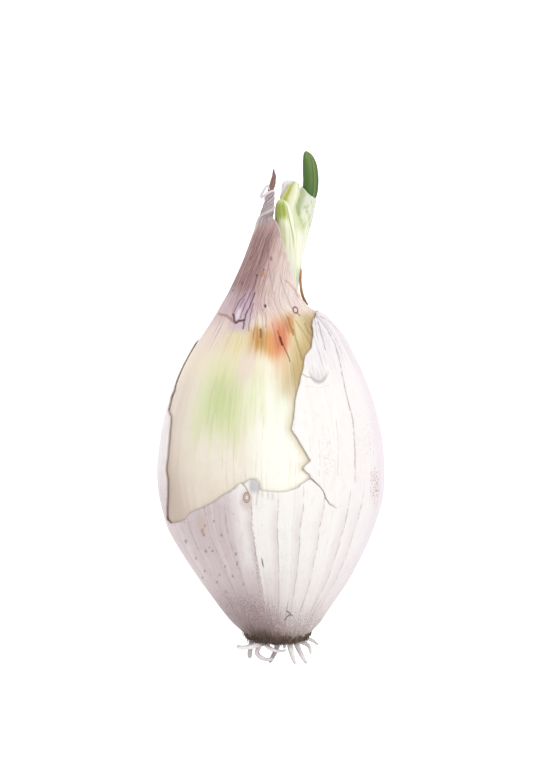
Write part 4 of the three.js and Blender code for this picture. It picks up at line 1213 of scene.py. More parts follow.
        col = g.mix(g.mul(s_, front, 0.6), col, hexlin("8a675c"))
    s_, _ = spot(g, x, y, -20.6, -34.2, 1.3, 2.8, 0.8, ang=0.1)
    col = g.mix(g.mul(s_, front, 0.4), col, hexlin("cdaf9c"))
    # russet patch near the right edge, faint smudges beside it
    nz = g.noise(g.scale(v, 1.1, 1.6, 1.1), 1.0, 4, 0.7)
    for px, py, rx, ry, lo_, hi_, st, c in ((31.0, -23.2, 1.2, 4.6, 0.46, 0.62, 0.9, "97644c"), (29.0, -8.0, 3.6, 10.0, 0.53, 0.68, 0.4, "b9a19c"),
                                            (17.0, -13.5, 1.5, 6.6, 0.48, 0.66, 0.42, "b3a3ad"), (27.4, -52.0, 6.0, 6.0, 0.55, 0.7, 0.2, "b39c96")):
        s_, _ = spot(g, x, y, px, py, rx, ry, 0.8)
        col = g.mix(g.mul(s_, front, g.ss(nz, lo_, hi_), st), col, hexlin(c))
    # ring scar below the curled tip
    s_out, r_ = spot(g, x, y, -7.2, -26.4, 1.02, 1.55, 0.15)
    halo, _ = spot(g, x, y, -7.2, -27.2, 1.7, 2.9, 0.5)
    col = g.mix(g.mul(halo, front, 0.5), col, hexlin("c7a899"))
    for rc, rw, st in ((0.92, 0.2, 0.85), (0.55, 0.16, 0.7)):
        ring = g.ss(g.m("ABSOLUTE", g.sub(g.add(r_, g.mul(g.sub(grain, 0.5), 0.3)), rc)), 0.02, rw, 1.0, 0.0)
        col = g.mix(g.mul(ring, front, st), col, hexlin("7c5848"))
    core, _ = spot(g, x, y, -7.05, -26.4, 0.3, 0.6, 0.3)
    col = g.mix(g.mul(core, front, 0.9), col, hexlin("f1e6df"))
    # broken warm line running down from the scar
    xf = g.add(g.mul(g.add(y, 26.0), -0.105), -6.3)
    dxf = g.sub(x, xf)
    fm = g.mul(g.band(y, -60.0, -50.0, -30.0, -27.5), front)
    fw = g.mul(g.ss(dxf, -2.0, -0.1), g.ss(dxf, 0.0, 0.4, 1.0, 0.0))
    col = g.mix(g.mul(fw, fm, g.ss(grain, 0.4, 0.6), 0.3), col, hexlin("c0a9a6"))
    fl = g.ss(g.m("ABSOLUTE", dxf), 0.05, 0.5, 1.0, 0.0)
    col = g.mix(g.mul(fl, fm, g.ss(grain, 0.47, 0.6), 0.55), col, hexlin("a58671"))
    # dark tick and the small forked mark
    s_, _ = spot(g, x, y, -2.5, -45.9, 0.2, 1.45, 0.4, ang=0.2)
    col = g.mix(g.mul(s_, front, 0.85), col, hexlin("5f4f55"))
    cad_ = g.m("MAXIMUM", stroke(g, p, ((4.6, -60.4), (5.5, -61.0), (6.4, -62.0)), 0.2), stroke(g, p, ((6.0, -61.6), (5.0, -61.9), (4.1, -63.2)), 0.2))
    # blister near the top right: streaked, with a cool shade round its lower end
    ex = g.mul(g.sub(x, 14.2), 1 / 3.1)
    ey = g.mul(g.sub(y, 13.0), 1 / 5.4)
    rr = g.m("SQRT", g.add(g.mul(ex, ex), g.mul(ey, ey)))
    arc = g.mul(g.ss(g.m("ABSOLUTE", g.sub(rr, 0.95)), 0.0, 0.2, 1.0, 0.0), g.ss(ey, -0.1, -0.85), front)
    col = g.mix(g.mul(arc, g.ss(grain, 0.3, 0.55, 0.5, 1.0), 0.7), col, hexlin("a39aa0"))
    col = g.mix(g.mul(g.ss(rr, 1.0, 0.6), front, g.ss(s_fine, 0.45, 0.62), 0.5), col, hexlin("cfc4d0"))
    col = g.mix(g.mul(g.ss(rr, 1.0, 0.8), front, g.ss(ey, -0.3, -0.85), 0.3), col, hexlin("c9c0c6"))
    # painted shade on the curled tip, and painted shade in its crease; dull marks beside it
    tip_shade_mask, _ = spot(g, x, y, -4.9, -22.6, 1.9, 2.4, 0.4, ang=0.25)
    col = g.mix(g.mul(tip_shade_mask, front, g.ss(x, -7.0, -5.6), 0.75), col, hexlin("bfbcc0"))
    col = g.mix(g.mul(stroke(g, p, ((-8.9, -21.9), (-7.6, -23.2), (-6.6, -25.0)), 0.25), front, 0.6), col, hexlin("8b7468"))
    col = g.mix(g.mul(stroke(g, p, ((-3.5, -23.4), (-4.0, -25.5), (-4.3, -28.6)), 0.35), front, 0.35), col, hexlin("a9a3a8"))
    s_, _ = spot(g, x, y, -1.0, -25.6, 2.2, 1.2, 0.8, ang=-0.3)
    col = g.mix(g.mul(s_, front, g.ss(s_fine, 0.4, 0.6), 0.4), col, hexlin("b4adb4"))
    # base: darkening, stippled, then fibrous
    bn = g.add(y, g.mul(g.sub(s_fine, 0.5), 6.0))
    bn = g.add(bn, g.mul(g.sub(mott, 0.5), 4.0))
    bn = g.sub(bn, g.mul(g.ss(co, 0.5, -0.7), 2.6))
    bn = g.sub(bn, g.mul(bowl_node(g, co), 0.8))
    rim_n = bn
    bn = g.add(bn, g.mul(g.ss(co, -0.35, 0.15), 2.8))
    col = g.mix(g.mul(g.ss(bn, -54.0, -65.0), 0.55), col, hexlin("a69093"))
    dots = g.ss(g.add(stip, g.mul(g.ss(bn, -54.0, -70.0), 0.28)), 0.62, 0.72)
    col = g.mix(g.mul(dots, g.ss(bn, -53.0, -60.0), 0.55), col, hexlin("7c6462"))
    col = g.mix(g.mul(g.ss(rim_n, -65.0, -70.5), 0.72), col, hexlin("765f58"))
    col = g.mix(g.mul(g.ss(rim_n, -67.8, -71.2), 0.95), col, hexlin("4a362e"))
    col = g.mix(g.mul(g.ss(fibre, 0.52, 0.64), g.band(y, -69.5, -66.5, -60.0, -52.0), g.ss(co, -0.2, 0.4), 0.7), col, hexlin("f0e2d2"))
    col = g.mix(g.mul(g.ss(s_fine, 0.54, 0.64), g.band(y, -70.0, -66.0, -60.0, -54.0), 0.5), col, hexlin("7f6664"))
    col = g.mix(g.mul(g.ss(fibre, 0.42, 0.32), g.ss(y, -60.0, -68.0), 0.5), col, hexlin("5d473c"))
    col = g.mix(g.mul(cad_, front, 0.8), col, hexlin("5f4f4c"))
    # torn edges: a brownish line, partly the dry edge's own colour, partly a painted shadow line along the tear
    col = g.mix(g.mul(g.ss(edge, 0.14, 0.03), g.ss(y, -60.0, -50.0), 0.55), col, hexlin("a08f80"))
    # inside face
    col = g.mix(g.ss(side, 0.7, 1.0), col, hexlin("e9e0d6"))
    h = g.add(g.mul(s_fine, 0.5), g.mul(fibre, 0.25))
    h = g.add(h, g.mul(vmask, 0.5))
    h = g.add(h, g.mul(grain, 0.6))
    n = g.bump(h, 0.00022, 0.8)
    rough = g.add(g.mul(s_fine, 0.2), 0.45)
    return g.finish(col, rough, n, Sheen_Weight=0.1, Sheen_Roughness=0.5, Subsurface_Weight=0.08,
                    Subsurface_Radius=(0.0012, 0.0008, 0.0006), Subsurface_Scale=1.0, Specular_IOR_Level=0.35)


def bowl_node(g, co):
    return g.sub(1.0, g.mul(co, co))


def bulb_material():
    g = G("bulb_scale_skin")
    pc = g.attr("pc", vec=True)
    co, si, yt = g.sep(pc)
    v, x, y, z, front = mm_coords(g)
    p = flat_point(g, x, y, v, 0.3, 0.5)
    yt10 = g.mul(yt, 10.0)
    side = g.attr("side")
    rim = g.attr("rim")
    tear = g.attr("tear")
    s_fine = g.noise(g.scale(pc, 44, 44, 0.7), 1.0, 4, 0.62)
    s_mid = g.noise(g.scale(pc, 16, 16, 0.3), 1.0, 3, 0.55)
    s_wide = g.noise(g.scale(pc, 6.0, 6.0, 0.14), 1.0, 2, 0.5)
    fibre = g.noise(g.scale(pc, 110, 110, 2.2), 1.0, 3, 0.6)
    grain = g.noise(g.scale(v, 1.5, 1.0, 1.5), 1.0, 5, 0.65)
    wash = g.noise(g.scale(v, 0.16, 0.1, 0.16), 1.0, 4, 0.6)
    st_ = g.add(g.mul(g.sub(s_mid, 0.5), 13.0), g.mul(g.sub(s_fine, 0.5), 9.0))
    yw = g.add(yt10, st_)                       # height with streaky tongues
    ys_ = g.add(yt10, g.mul(st_, 0.45))
    # pale scale
    col = g.mix(g.ss(co, -0.5, -0.05), hexlin("f3eadb"), hexlin("fffdf2"))
    col = g.mix(g.mul(g.ss(co, 0.1, 0.36), g.ss(yt10, -14.0, 0.0), 0.7), col, hexlin("f8f0da"))
    col = g.mix(g.mul(g.ss(wash, 0.42, 0.62), g.ss(co, 0.0, -0.3), 0.45), col, hexlin("eadccb"))
    # tan towards the left edge and the lower left: partly the scale's own colour, partly painted shade where the bulb
    # turns away
    tan = g.add(g.ss(co, -0.62, -1.0), g.mul(g.ss(yt10, -14.0, -36.0), g.ss(co, -0.15, -0.85), 0.85))
    tan = g.mul(tan, g.ss(s_mid, 0.3, 0.7, 0.75, 1.15))
    col = g.mix(g.m("MINIMUM", tan, 1.0), col, hexlin("dccbbd"))
    limb_tan_and_shade = g.mul(g.ss(co, -0.7, -0.97), g.ss(yt10, -6.0, -26.0))
    col = g.mix(g.mul(limb_tan_and_shade, 0.85), col, hexlin("b7a292"))
    # green washes
    gm = g.mul(g.band(co, -0.88, -0.66, -0.3, -0.08), g.band(yw, -16.0, -3.0, 9.0, 20.0))
    col = g.mix(g.mul(gm, g.ss(s_mid, 0.3, 0.6, 0.45, 1.0), 0.95), col, hexlin("e2e6bb"))
    g2 = g.mul(g.band(co, -0.72, -0.56, -0.42, -0.26), g.band(yw, -11.0, 0.0, 7.0, 17.0))
    col = g.mix(g.mul(g2, g.ss(s_fine, 0.34, 0.58, 0.35, 1.0), 0.9), col, hexlin("ccd99c"))
    g3 = g.mul(g.band(co, -0.28, -0.2, -0.1, 0.0), g.band(yw, -8.0, 1.0, 8.0, 16.0))
    col = g.mix(g.mul(g3, g.ss(s_fine, 0.3, 0.55, 0.3, 1.0), 0.75), col, hexlin("e6ecc0"))
    g4 = g.mul(g.band(co, -0.04, 0.06, 0.12, 0.2), g.band(yw, -10.0, 0.0, 4.0, 12.0))
    col = g.mix(g.mul(g4, 0.4), col, hexlin("e3ecd0"))
    # cream-yellow shoulder, pinker to the left
    col = g.mix(g.mul(g.band(yw, 4.0, 15.0, 24.0, 30.0), 0.55), col, hexlin("f3e6c6"))
    yg = g.mul(g.band(co, -0.8, -0.6, -0.35, -0.15), g.band(yw, 8.0, 13.0, 17.0, 24.0))
    col = g.mix(g.mul(yg, 0.5), col, hexlin("e9e6b4"))
    sh = g.mul(g.ss(ys_, 12.0, 24.0), g.ss(co, -0.25, -0.7))
    col = g.mix(g.mul(sh, 0.85), col, hexlin("ead6cf"))
    pk = g.mul(g.band(co, -0.42, -0.34, -0.24, -0.14), g.band(yw, 4.0, 11.0, 19.0, 27.0))
    col = g.mix(g.mul(pk, 0.6), col, hexlin("f0dad6"))
    # olive-ochre beside the right edge of the window, the scale's own colour; the darker olive right at the edge and
    # the tan strip lower down are painted shade from the skin's torn edge
    near = g.ss(tear, 7.5, 0.6)
    ol = g.mul(g.ss(x, -1.0, 4.5), g.band(ys_, 0.0, 9.0, 27.5, 30.5), front)
    col = g.mix(g.mul(ol, g.ss(s_mid, 0.25, 0.6, 0.6, 1.0), 0.72), col, hexlin("dcc78e"))
    col = g.mix(g.mul(ol, near, g.ss(s_fine, 0.3, 0.6, 0.55, 1.0), 0.85), col, hexlin("bd9f66"))
    rt = g.mul(g.ss(x, 1.0, 5.0), g.ss(tear, 3.0, 0.2), g.band(yt10, -22.0, -14.0, 6.0, 14.0), front)
    col = g.mix(g.mul(rt, 0.5), col, hexlin("cfbf95"))
    # band of colour across the shoulder
    yb = g.add(y, g.mul(st_, 0.42))
    for x0, x1, x2, x3, y0, y1, y2, y3, st, c in (
            (-16.5, -11.0, -8.0, -3.0, 14.5, 19.5, 21.0, 25.5, 0.6, "e6da9a"),
            (-8.6, -4.6, -0.6, 2.4, 13.0, 19.4, 22.0, 26.6, 0.9, "dcb068"),
            (-6.4, -4.0, -2.8, -0.2, 15.8, 19.8, 21.8, 25.2, 0.75, "bd8840"),
            (-2.8, 0.0, 2.0, 4.4, 12.6, 17.6, 20.4, 24.6, 0.9, "e29f55"),
            (-1.8, 1.4, 4.4, 7.4, 14.5, 20.0, 25.0, 30.2, 0.78, "e59a72"),
            (0.2, 2.2, 3.4, 5.6, 13.5, 19.0, 22.4, 27.4, 0.7, "d6704a"),
            (0.4, 2.0, 3.4, 5.6, 7.0, 14.0, 15.0, 19.5, 0.42, "ecae90"),
            (3.6, 4.8, 6.2, 7.6, 21.5, 23.6, 27.4, 29.4, 0.75, "c1813f"),
            (-3.2, -1.6, 0.6, 2.2, 21.5, 24.0, 27.0, 31.0, 0.4, "edbfae")):
        m_ = g.mul(g.band(x, x0, x1, x2, x3), g.band(yb, y0, y1, y2, y3), front)
        col = g.mix(g.mul(m_, g.ss(s_fine, 0.28, 0.58, 0.6, 1.0), st), col, hexlin(c))
    # dry neck
    nk = g.ss(g.sub(ys_, g.mul(g.ss(co, -0.4, 0.6), 2.0)), 23.5, 31.0)
    neckcol = g.mix(g.ss(co, 0.5, -0.35), hexlin("efd8d0"), hexlin("d3b0ad"))
    neckcol = g.mix(g.mul(g.ss(co, -0.3, -0.85), 0.9), neckcol, hexlin("c29d9e"))
    neckcol = g.mix(g.mul(g.ss(yt10, 46.0, 55.0), 0.6), neckcol, hexlin("c2a5a1"))
    neckcol = g.mix(g.mul(g.ss(wash, 0.5, 0.66), 0.4), neckcol, hexlin("cdb39c"))
    col = g.mix(nk, col, neckcol)
    dk = g.mul(g.ss(co, 0.0, -0.45), g.band(ys_, 31.0, 36.0, 50.0, 56.0))
    col = g.mix(g.mul(dk, g.ss(s_mid, 0.3, 0.6, 0.5, 1.0), 0.75), col, hexlin("946a68"))
    col = g.mix(g.mul(dk, g.ss(s_fine, 0.52, 0.6), 0.75), col, hexlin("5c3a3e"))
    lp = g.mul(g.band(co, -0.75, -0.6, -0.4, -0.3), g.band(yt10, 21.5, 24.5, 31.0, 37.0))
    col = g.mix(g.mul(lp, 0.5), col, hexlin("c9afc0"))
    l2 = g.mul(g.ss(co, -0.66, -0.8), g.band(yt10, 24.0, 28.0, 33.0, 38.0))
    col = g.mix(g.mul(l2, 0.6), col, hexlin("dccbd0"))
    pale = g.mul(g.band(co, -0.2, 0.05, 0.8, 1.0), g.band(yt10, 27.0, 30.0, 36.0, 42.0))
    col = g.mix(g.mul(pale, g.ss(s_mid, 0.6, 0.4), 0.6), col, hexlin("f6e5df"))
    # fine dark and light lines in the dry skin
    dry = g.ss(yt10, 14.0, 32.0)
    col = g.mix(g.mul(g.ss(s_fine, 0.55, 0.64), dry, g.ss(co, 0.6, -0.4, 0.45, 0.85)), col, hexlin("937173"))
    col = g.mix(g.mul(g.ss(s_fine, 0.45, 0.36), g.ss(yt10, 24.0, 38.0), 0.6), col, hexlin("eedbd5"))
    col = g.mix(g.mul(g.ss(fibre, 0.56, 0.68), g.ss(yt10, 20.0, 36.0), 0.6), col, hexlin("6a484e"))
    col = g.mix(g.mul(g.ss(fibre, 0.42, 0.32), g.ss(yt10, 26.0, 40.0), 0.4), col, hexlin("f2e3df"))
    dash = g.mul(g.ss(g.vor(g.scale(v, 1.1, 0.42, 1.1), 1.0, "F1"), 0.06, 0.18, 1.0, 0.0), g.band(ys_, 27.0, 33.0, 50.0, 57.0), g.ss(co, 0.2, -0.35))
    col = g.mix(g.mul(dash, 0.6), col, hexlin("5d3a3e"))
    # twisted top
    tw = g.ss(g.sub(y, g.mul(g.add(x, 4.0), 0.55)), 53.4, 55.0)
    twc = g.mix(g.ss(s_mid, 0.38, 0.6), hexlin("dccfd2"), hexlin("a8959a"))
    twc = g.mix(g.mul(g.ss(s_fine, 0.54, 0.62), 0.85), twc, hexlin("6f5b62"))
    twc = g.mix(g.ss(s_fine, 0.47, 0.38), twc, hexlin("f6eff0"))
    col = g.mix(g.mul(tw, 0.9), col, twc)
    # painted highlight on the crest of the raised cord
    cord_ = g.mul(g.ss(co, -0.965, -0.992), g.ss(yt10, 51.0, 54.0))
    col = g.mix(g.mul(cord_, 0.9), col, hexlin("f7e9e6"))
    # faint long lines in the fresh scale
    col = g.mix(g.mul(g.ss(s_fine, 0.58, 0.68), g.ss(yt10, 22.0, 8.0), 0.26), col, hexlin("c9b58f"))
    col = g.mix(g.mul(g.ss(s_mid, 0.6, 0.72), g.ss(yt10, 22.0, 8.0), 0.2), col, hexlin("dcc7b0"))
    # marks on the front
    soft_, _ = spot(g, x, y, -7.6, 29.0, 3.2, 5.4, 0.7, ang=-0.3)
    col = g.mix(g.mul(soft_, front, 0.5), col, hexlin("cbb0c6"))
    for pts, w, st, c in (
        (((-15.4, 28.2), (-13.3, 27.6), (-11.8, 26.5), (-10.7, 25.5)), 0.55, 0.6, "a2604f"),
        (((-11.2, 28.0), (-10.8, 26.0), (-10.5, 25.4), (-9.6, 26.1), (-7.9, 26.3)), 0.42, 0.92, "4f2a35"),
        (((-11.0, 28.6), (-10.3, 30.4), (-9.2, 32.4), (-7.6, 34.2)), 0.2, 0.7, "6b4a58"),
        (((-9.3, 27.0), (-8.1, 30.0), (-6.6, 33.3), (-4.9, 36.9), (-4.2, 40.0)), 0.2, 0.7, "6b4a58"),
        (((-8.3, 23.7), (-7.6, 27.9), (-6.3, 30.4), (-4.8, 34.4)), 0.24, 0.85, "4f3441"),
        (((-6.7, 22.9), (-6.1, 27.9), (-5.3, 31.2)), 0.2, 0.65, "6b4a58"),
        (((-9.6, 29.4), (-8.9, 31.2), (-7.9, 32.6)), 0.2, 0.6, "6b4a58"),
        (((-5.3, 20.3), (-4.6, 25.8), (-4.2, 28.8)), 0.16, 0.45, "8f6058"),
        (((-1.55, 28.7), (-1.5, 24.0)), 0.2, 0.5, "a0605c"),
        (((-3.1, 23.4), (-3.0, 21.2)), 0.36, 0.75, "7d4a2c"),
        (((2.0, 22.9), (2.7, 21.0), (3.2, 19.5), (4.7, 16.5), (5.7, 13.9)), 0.22, 0.8, "94402f"),
        (((2.7, 21.1), (3.4, 18.9)), 0.42, 0.95, "5f1d20"),
        (((0.3, 25.5), (1.2, 21.9), (2.1, 18.3)), 0.2, 0.5, "b06a4e"),
        (((4.2, 19.4), (5.3, 15.0), (6.4, 9.6)), 0.16, 0.35, "c08a6a"),
        (((6.7, 23.4), (8.2, 18.0), (9.3, 14.4)), 0.32, 0.6, "9a7a45"),
        (((10.2, 25.2), (11.1, 22.8), (12.3, 21.6)), 0.4, 0.5, "8a6c3f"),
        (((7.4, 25.9), (10.2, 21.9), (11.8, 18.9)), 0.24, 0.5, "a3854f"),
        (((5.1, 27.0), (6.0, 24.0), (6.6, 21.9)), 0.34, 0.7, "b0702f"),
        (((6.4, 13.6), (7.1, 8.0), (7.4, 2.0)), 0.22, 0.45, "a88c58"),
        (((0.5, 33.0), (2.0, 29.5), (4.2, 24.5)), 0.16, 0.45, "b08a84"),
        (((2.6, 40.0), (4.6, 33.5), (6.3, 29.6)), 0.16, 0.5, "a57f7b"),
        (((-1.0, 50.0), (-0.6, 42.0), (0.8, 34.0)), 0.18, 0.4, "8c6a6c"),
        (((4.4, 38.2), (5.8, 36.9), (7.2, 35.2), (8.4, 33.0)), 0.34, 0.45, "b98658")):
        col = g.mix(g.mul(stroke(g, p, pts, w), front, st), col, hexlin(c))
    for sx, sy, rx, ry, an, st, c in ((-9.7, 28.2, 0.6, 1.9, -0.35, 0.75, "eee2ee"), (-2.4, 29.3, 0.6, 0.45, 0.0, 0.35, "b98a52"),
                                      (-1.7, 30.5, 0.38, 0.55, 0.1, 0.92, "43222c"), (-2.6, 40.1, 0.7, 0.8, 0.0, 0.75, "b98a52"),
                                      (-4.2, 39.6, 0.28, 0.28, 0.0, 0.8, "40262b"), (-2.1, 41.3, 0.24, 0.3, 0.0, 0.7, "7a3b35"),
                                      (0.0, 44.7, 0.42, 0.62, 0.0, 0.6, "7a5048"), (-11.4, 35.2, 0.3, 0.25, 0.0, 0.5, "5d3c40"),
                                      (-8.6, 37.4, 0.34, 0.45, 0.3, 0.5, "5d3c40"), (-6.2, 44.8, 0.25, 0.6, -0.2, 0.5, "5d3c40")):
        s_, _ = spot(g, x, y, sx, sy, rx, ry, 0.6, ang=an)
        col = g.mix(g.mul(s_, front, st), col, hexlin(c))
    # ring scar at the top right of the shoulder
    s_, r_ = spot(g, x, y, 7.3, 29.3, 0.8, 1.1, 0.2, ang=0.3)
    ring = g.ss(g.m("ABSOLUTE", g.sub(g.add(r_, g.mul(g.sub(grain, 0.5), 0.4)), 0.84)), 0.08, 0.36, 1.0, 0.0)
    col = g.mix(g.mul(s_, front, 0.8), col, hexlin("efd3c9"))
    col = g.mix(g.mul(ring, front, 0.92), col, hexlin("5d2c2e"))
    col = g.mix(g.mul(stroke(g, p, ((7.8, 28.4), (8.6, 27.6)), 0.3), front, 0.6), col, hexlin("8a5a3c"))
    # soft brown shade right beside the torn edge
    col = g.mix(g.mul(g.ss(tear, 0.9, 0.0), g.ss(co, -0.9, -0.6), 0.35), col, hexlin("b09c84"))
    # split edges of the sleeve: thin pale margin
    em = g.mul(g.ss(rim, 0.6, 0.2), g.ss(side, 0.5, 0.2))
    col = g.mix(g.mul(em, 0.75), col, hexlin("f5e6e0"))
    col = g.mix(g.ss(side, 0.4, 0.8), col, hexlin("d8c3b4"))
    h = g.add(g.mul(s_fine, g.ss(yt10, 10.0, 34.0, 0.35, 1.0)), g.mul(fibre, g.ss(yt10, 16.0, 36.0, 0.1, 0.5)))
    h = g.add(h, g.mul(grain, 0.35))
    n = g.bump(h, 0.00028, 0.8)
    rough = g.add(g.ss(yt10, 16.0, 32.0, 0.36, 0.62), g.mul(s_fine, 0.1))
    return g.finish(col, rough, n, Subsurface_Weight=0.12, Subsurface_Radius=(0.002, 0.0014, 0.0008), Subsurface_Scale=1.0,
                    Coat_Weight=0.05, Coat_Roughness=0.3, Specular_IOR_Level=0.38)


def leaf_material(name, build):
    g = G(name)
    pc = g.attr("pc", vec=True)
    co, si, yt = g.sep(pc)
    v, x, y, z, front = mm_coords(g)
    s_fine = g.noise(g.scale(pc, 11, 11, 0.55), 1.0, 4, 0.6)
    s_mid = g.noise(g.scale(pc, 4, 4, 0.4), 1.0, 3, 0.5)
    col = build(g, pc, co, si, x, y, z, s_fine, s_mid)
    n = g.bump(g.add(s_fine, g.mul(g.noise(g.scale(v, 2.5, 1.0, 2.5), 1.0, 3, 0.5), 0.4)), 0.00016, 0.7)
    rough = g.add(g.mul(s_fine, 0.14), 0.3)
    return g.finish(col, rough, n, Subsurface_Weight=0.16, Subsurface_Radius=(0.0012, 0.0016, 0.0006), Subsurface_Scale=1.0,
                    Coat_Weight=0.08, Coat_Roughness=0.28)


def front_cols(g, pc, co, si, x, y, z, s_fine, s_mid):
    yy = g.add(y, g.mul(g.sub(s_fine, 0.5), 5.0))
    col = g.mix(g.ss(y, 36.0, 54.0), hexlin("f7f6ea"), hexlin("f0f2d8"))
    col = g.mix(g.mul(g.ss(co, -0.35, -0.95), g.ss(y, 34.0, 50.0), 0.9), col, hexlin("b9c07c"))
    col = g.mix(g.mul(g.band(co, -0.35, -0.15, 0.0, 0.2), g.band(yy, 46.0, 51.0, 55.0, 58.0), 0.6), col, hexlin("ced795"))
    col = g.mix(g.mul(g.ss(s_fine, 0.53, 0.64), 0.55), col, hexlin("c3cd88"))
    cap = g.mul(g.ss(yy, 55.0, 58.0), g.ss(co, 0.8, 0.5))
    col = g.mix(g.mul(cap, 0.85), col, hexlin("bcc566"))
    core = g.mul(g.band(co, -0.85, -0.4, 0.3, 0.55), g.band(yy, 56.0, 58.0, 60.4, 61.9))
    col = g.mix(g.mul(core, g.ss(s_mid, 0.35, 0.6, 0.4, 1.0), 0.95), col, hexlin("92a535"))
    col = g.mix(g.mul(g.ss(y, 61.2, 62.4), 0.5), col, hexlin("dfe5b4"))
    rimc = g.mul(g.ss(co, 0.84, 0.93), g.ss(y, 50.0, 56.0))
    col = g.mix(g.mul(rimc, 0.9), col, hexlin("fafaf2"))
    # dark olive line in the groove beside the pale margin: painted shade
    return g.mix(g.mul(g.line(co, 0.72, 0.11), g.band(y, 46.0, 52.0, 60.0, 61.5), 0.65), col, hexlin("8f9a52"))


def middle_cols(g, pc, co, si, x, y, z, s_fine, s_mid):
    yy = g.add(y, g.mul(g.sub(s_fine, 0.5), 4.0))
    col = g.mix(g.ss(y, 44.0, 60.0), hexlin("faf9f2"), hexlin("f2f4da"))
    col = g.mix(g.mul(g.ss(yy, 55.0, 61.0), g.ss(co, 0.3, -0.5), 0.9), col, hexlin("d3d882"))
    col = g.mix(g.mul(g.ss(g.m("ABSOLUTE", g.add(co, 0.5)), 0.0, 0.36, 1.0, 0.0), g.ss(yy, 58.0, 62.5), 0.85), col, hexlin("b4bd4c"))
    # painted highlight on the blade's right side
    col = g.mix(g.mul(g.ss(co, 0.1, 0.4), g.ss(y, 59.0, 64.5), 0.6), col, hexlin("f7f5de"))
    col = g.mix(g.mul(g.ss(co, 0.62, 0.95), g.ss(y, 46.0, 60.0), 0.7), col, hexlin("c2d29c"))
    col = g.mix(g.mul(g.band(y, 52.0, 55.0, 58.0, 61.0), g.ss(co, -0.2, 0.3), 0.5), col, hexlin("c9d49c"))
    return g.mix(g.mul(g.ss(s_fine, 0.54, 0.66), 0.4), col, hexlin("c9d194"))


def sheath_cols(g, pc, co, si, x, y, z, s_fine, s_mid):
    v = g.scale(g.obj(), 1000, 1000, 1000)
    bl = g.noise(g.scale(v, 0.7, 0.32, 0.7), 1.0, 4, 0.62)
    col = g.mix(g.ss(y, 46.0, 58.0), hexlin("f3f4e6"), hexlin("ebf0da"))
    col = g.mix(g.mul(g.ss(y, 60.0, 65.0), 0.5), col, hexlin("d4dfc4"))
    col = g.mix(g.mul(g.ss(bl, 0.5, 0.64), 0.75), col, hexlin("bccb92"))
    col = g.mix(g.mul(g.ss(bl, 0.47, 0.36), 0.7), col, hexlin("f8f8ec"))
    col = g.mix(g.mul(g.band(co, -0.6, -0.2, 0.4, 0.7), g.band(y, 44.0, 48.0, 53.0, 59.0), g.ss(s_mid, 0.3, 0.6), 0.7), col, hexlin("d0dc98"))
    col = g.mix(g.mul(g.ss(co, -0.1, -0.5), g.ss(y, 50.0, 60.0), 0.6), col, hexlin("b2c28c"))
    col = g.mix(g.mul(g.ss(s_fine, 0.53, 0.66), 0.4), col, hexlin("b9c8a0"))
    col = g.mix(g.mul(g.ss(co, 0.86, 0.99), 0.6), col, hexlin("b5b4bb"))
    lip = g.attr("lip")
    col = g.mix(g.mul(g.ss(lip, 0.45, 0.1), 0.5), col, hexlin("f3f6ec"))
    return g.mix(g.ss(g.attr("side"), 0.4, 0.8), col, hexlin("b9caa0"))


def green_cols(g, pc, co, si, x, y, z, s_fine, s_mid):
    col = g.mix(g.ss(y, 63.0, 74.0), hexlin("5c7f3a"), hexlin("7f9f4c"))
    col = g.mix(g.mul(g.ss(y, 73.5, 76.6), 0.8), col, hexlin("a7bf78"))
    col = g.mix(g.mul(g.ss(co, -0.4, -0.9), 0.85), col, hexlin("3c5721"))
    col = g.mix(g.mul(g.ss(s_fine, 0.5, 0.64), 0.6), col, hexlin("47682c"))
    col = g.mix(g.mul(g.band(co, -0.3, -0.05, 0.2, 0.42), g.ss(y, 64.0, 70.0), 0.5), col, hexlin("90ad5f"))
    # painted highlight along the keel; beyond it the face that turns away, and its far edge, get painted shade
    col = g.mix(g.mul(g.line(co, 0.5, 0.12), g.band(y, 61.0, 63.0, 72.0, 75.5), 0.9), col, hexlin("c3cf8e"))
    col = g.mix(g.mul(g.ss(co, 0.62, 0.8), 0.8), col, hexlin("7d8f48"))
    col = g.mix(g.mul(g.ss(co, 0.88, 0.98), 0.7), col, hexlin("56702f"))
    return g.mix(g.ss(y, 76.0, 70.0, 0.55, 0.72), col, hexlin("335f04"))


def membrane_material():
    g = G("thin_membrane")
    pc = g.attr("pc", vec=True)
    v, x, y, z, front = mm_coords(g)
    s = g.noise(g.scale(v, 2.2, 0.35, 2.2), 1.0, 4, 0.6)
    col = g.mix(g.ss(s, 0.4, 0.62), hexlin("efeaf1"), hexlin("cfc2d2"))
    col = g.mix(g.mul(g.ss(y, 66.8, 68.3), 0.5), col, hexlin("f8f5f9"))
    n = g.bump(s, 0.00018, 0.8)
    return g.finish(col, g.add(g.mul(s, 0.2), 0.4), n, Subsurface_Weight=0.1, Subsurface_Radius=(0.001, 0.001, 0.001), Subsurface_Scale=1.0)


def ribbon_material():
    g = G("dry_white_strip")
    pc = g.attr("pc", vec=True)
    u, f, l = g.sep(pc)
    v, x, y, z, front = mm_coords(g)
    s = g.noise(g.scale(pc, 4.0, 2.0, 1.0), 1.0, 4, 0.6)
    col = g.mix(g.ss(s, 0.38, 0.62), hexlin("fbf8fb"), hexlin("d3c6d2"))
    col = g.mix(g.mul(g.ss(g.m("ABSOLUTE", u), 0.75, 1.0), 0.6), col, hexlin("9c8b98"))
    n = g.bump(s, 0.00015, 0.8)
    return g.finish(col, g.add(g.mul(s, 0.2), 0.45), n)


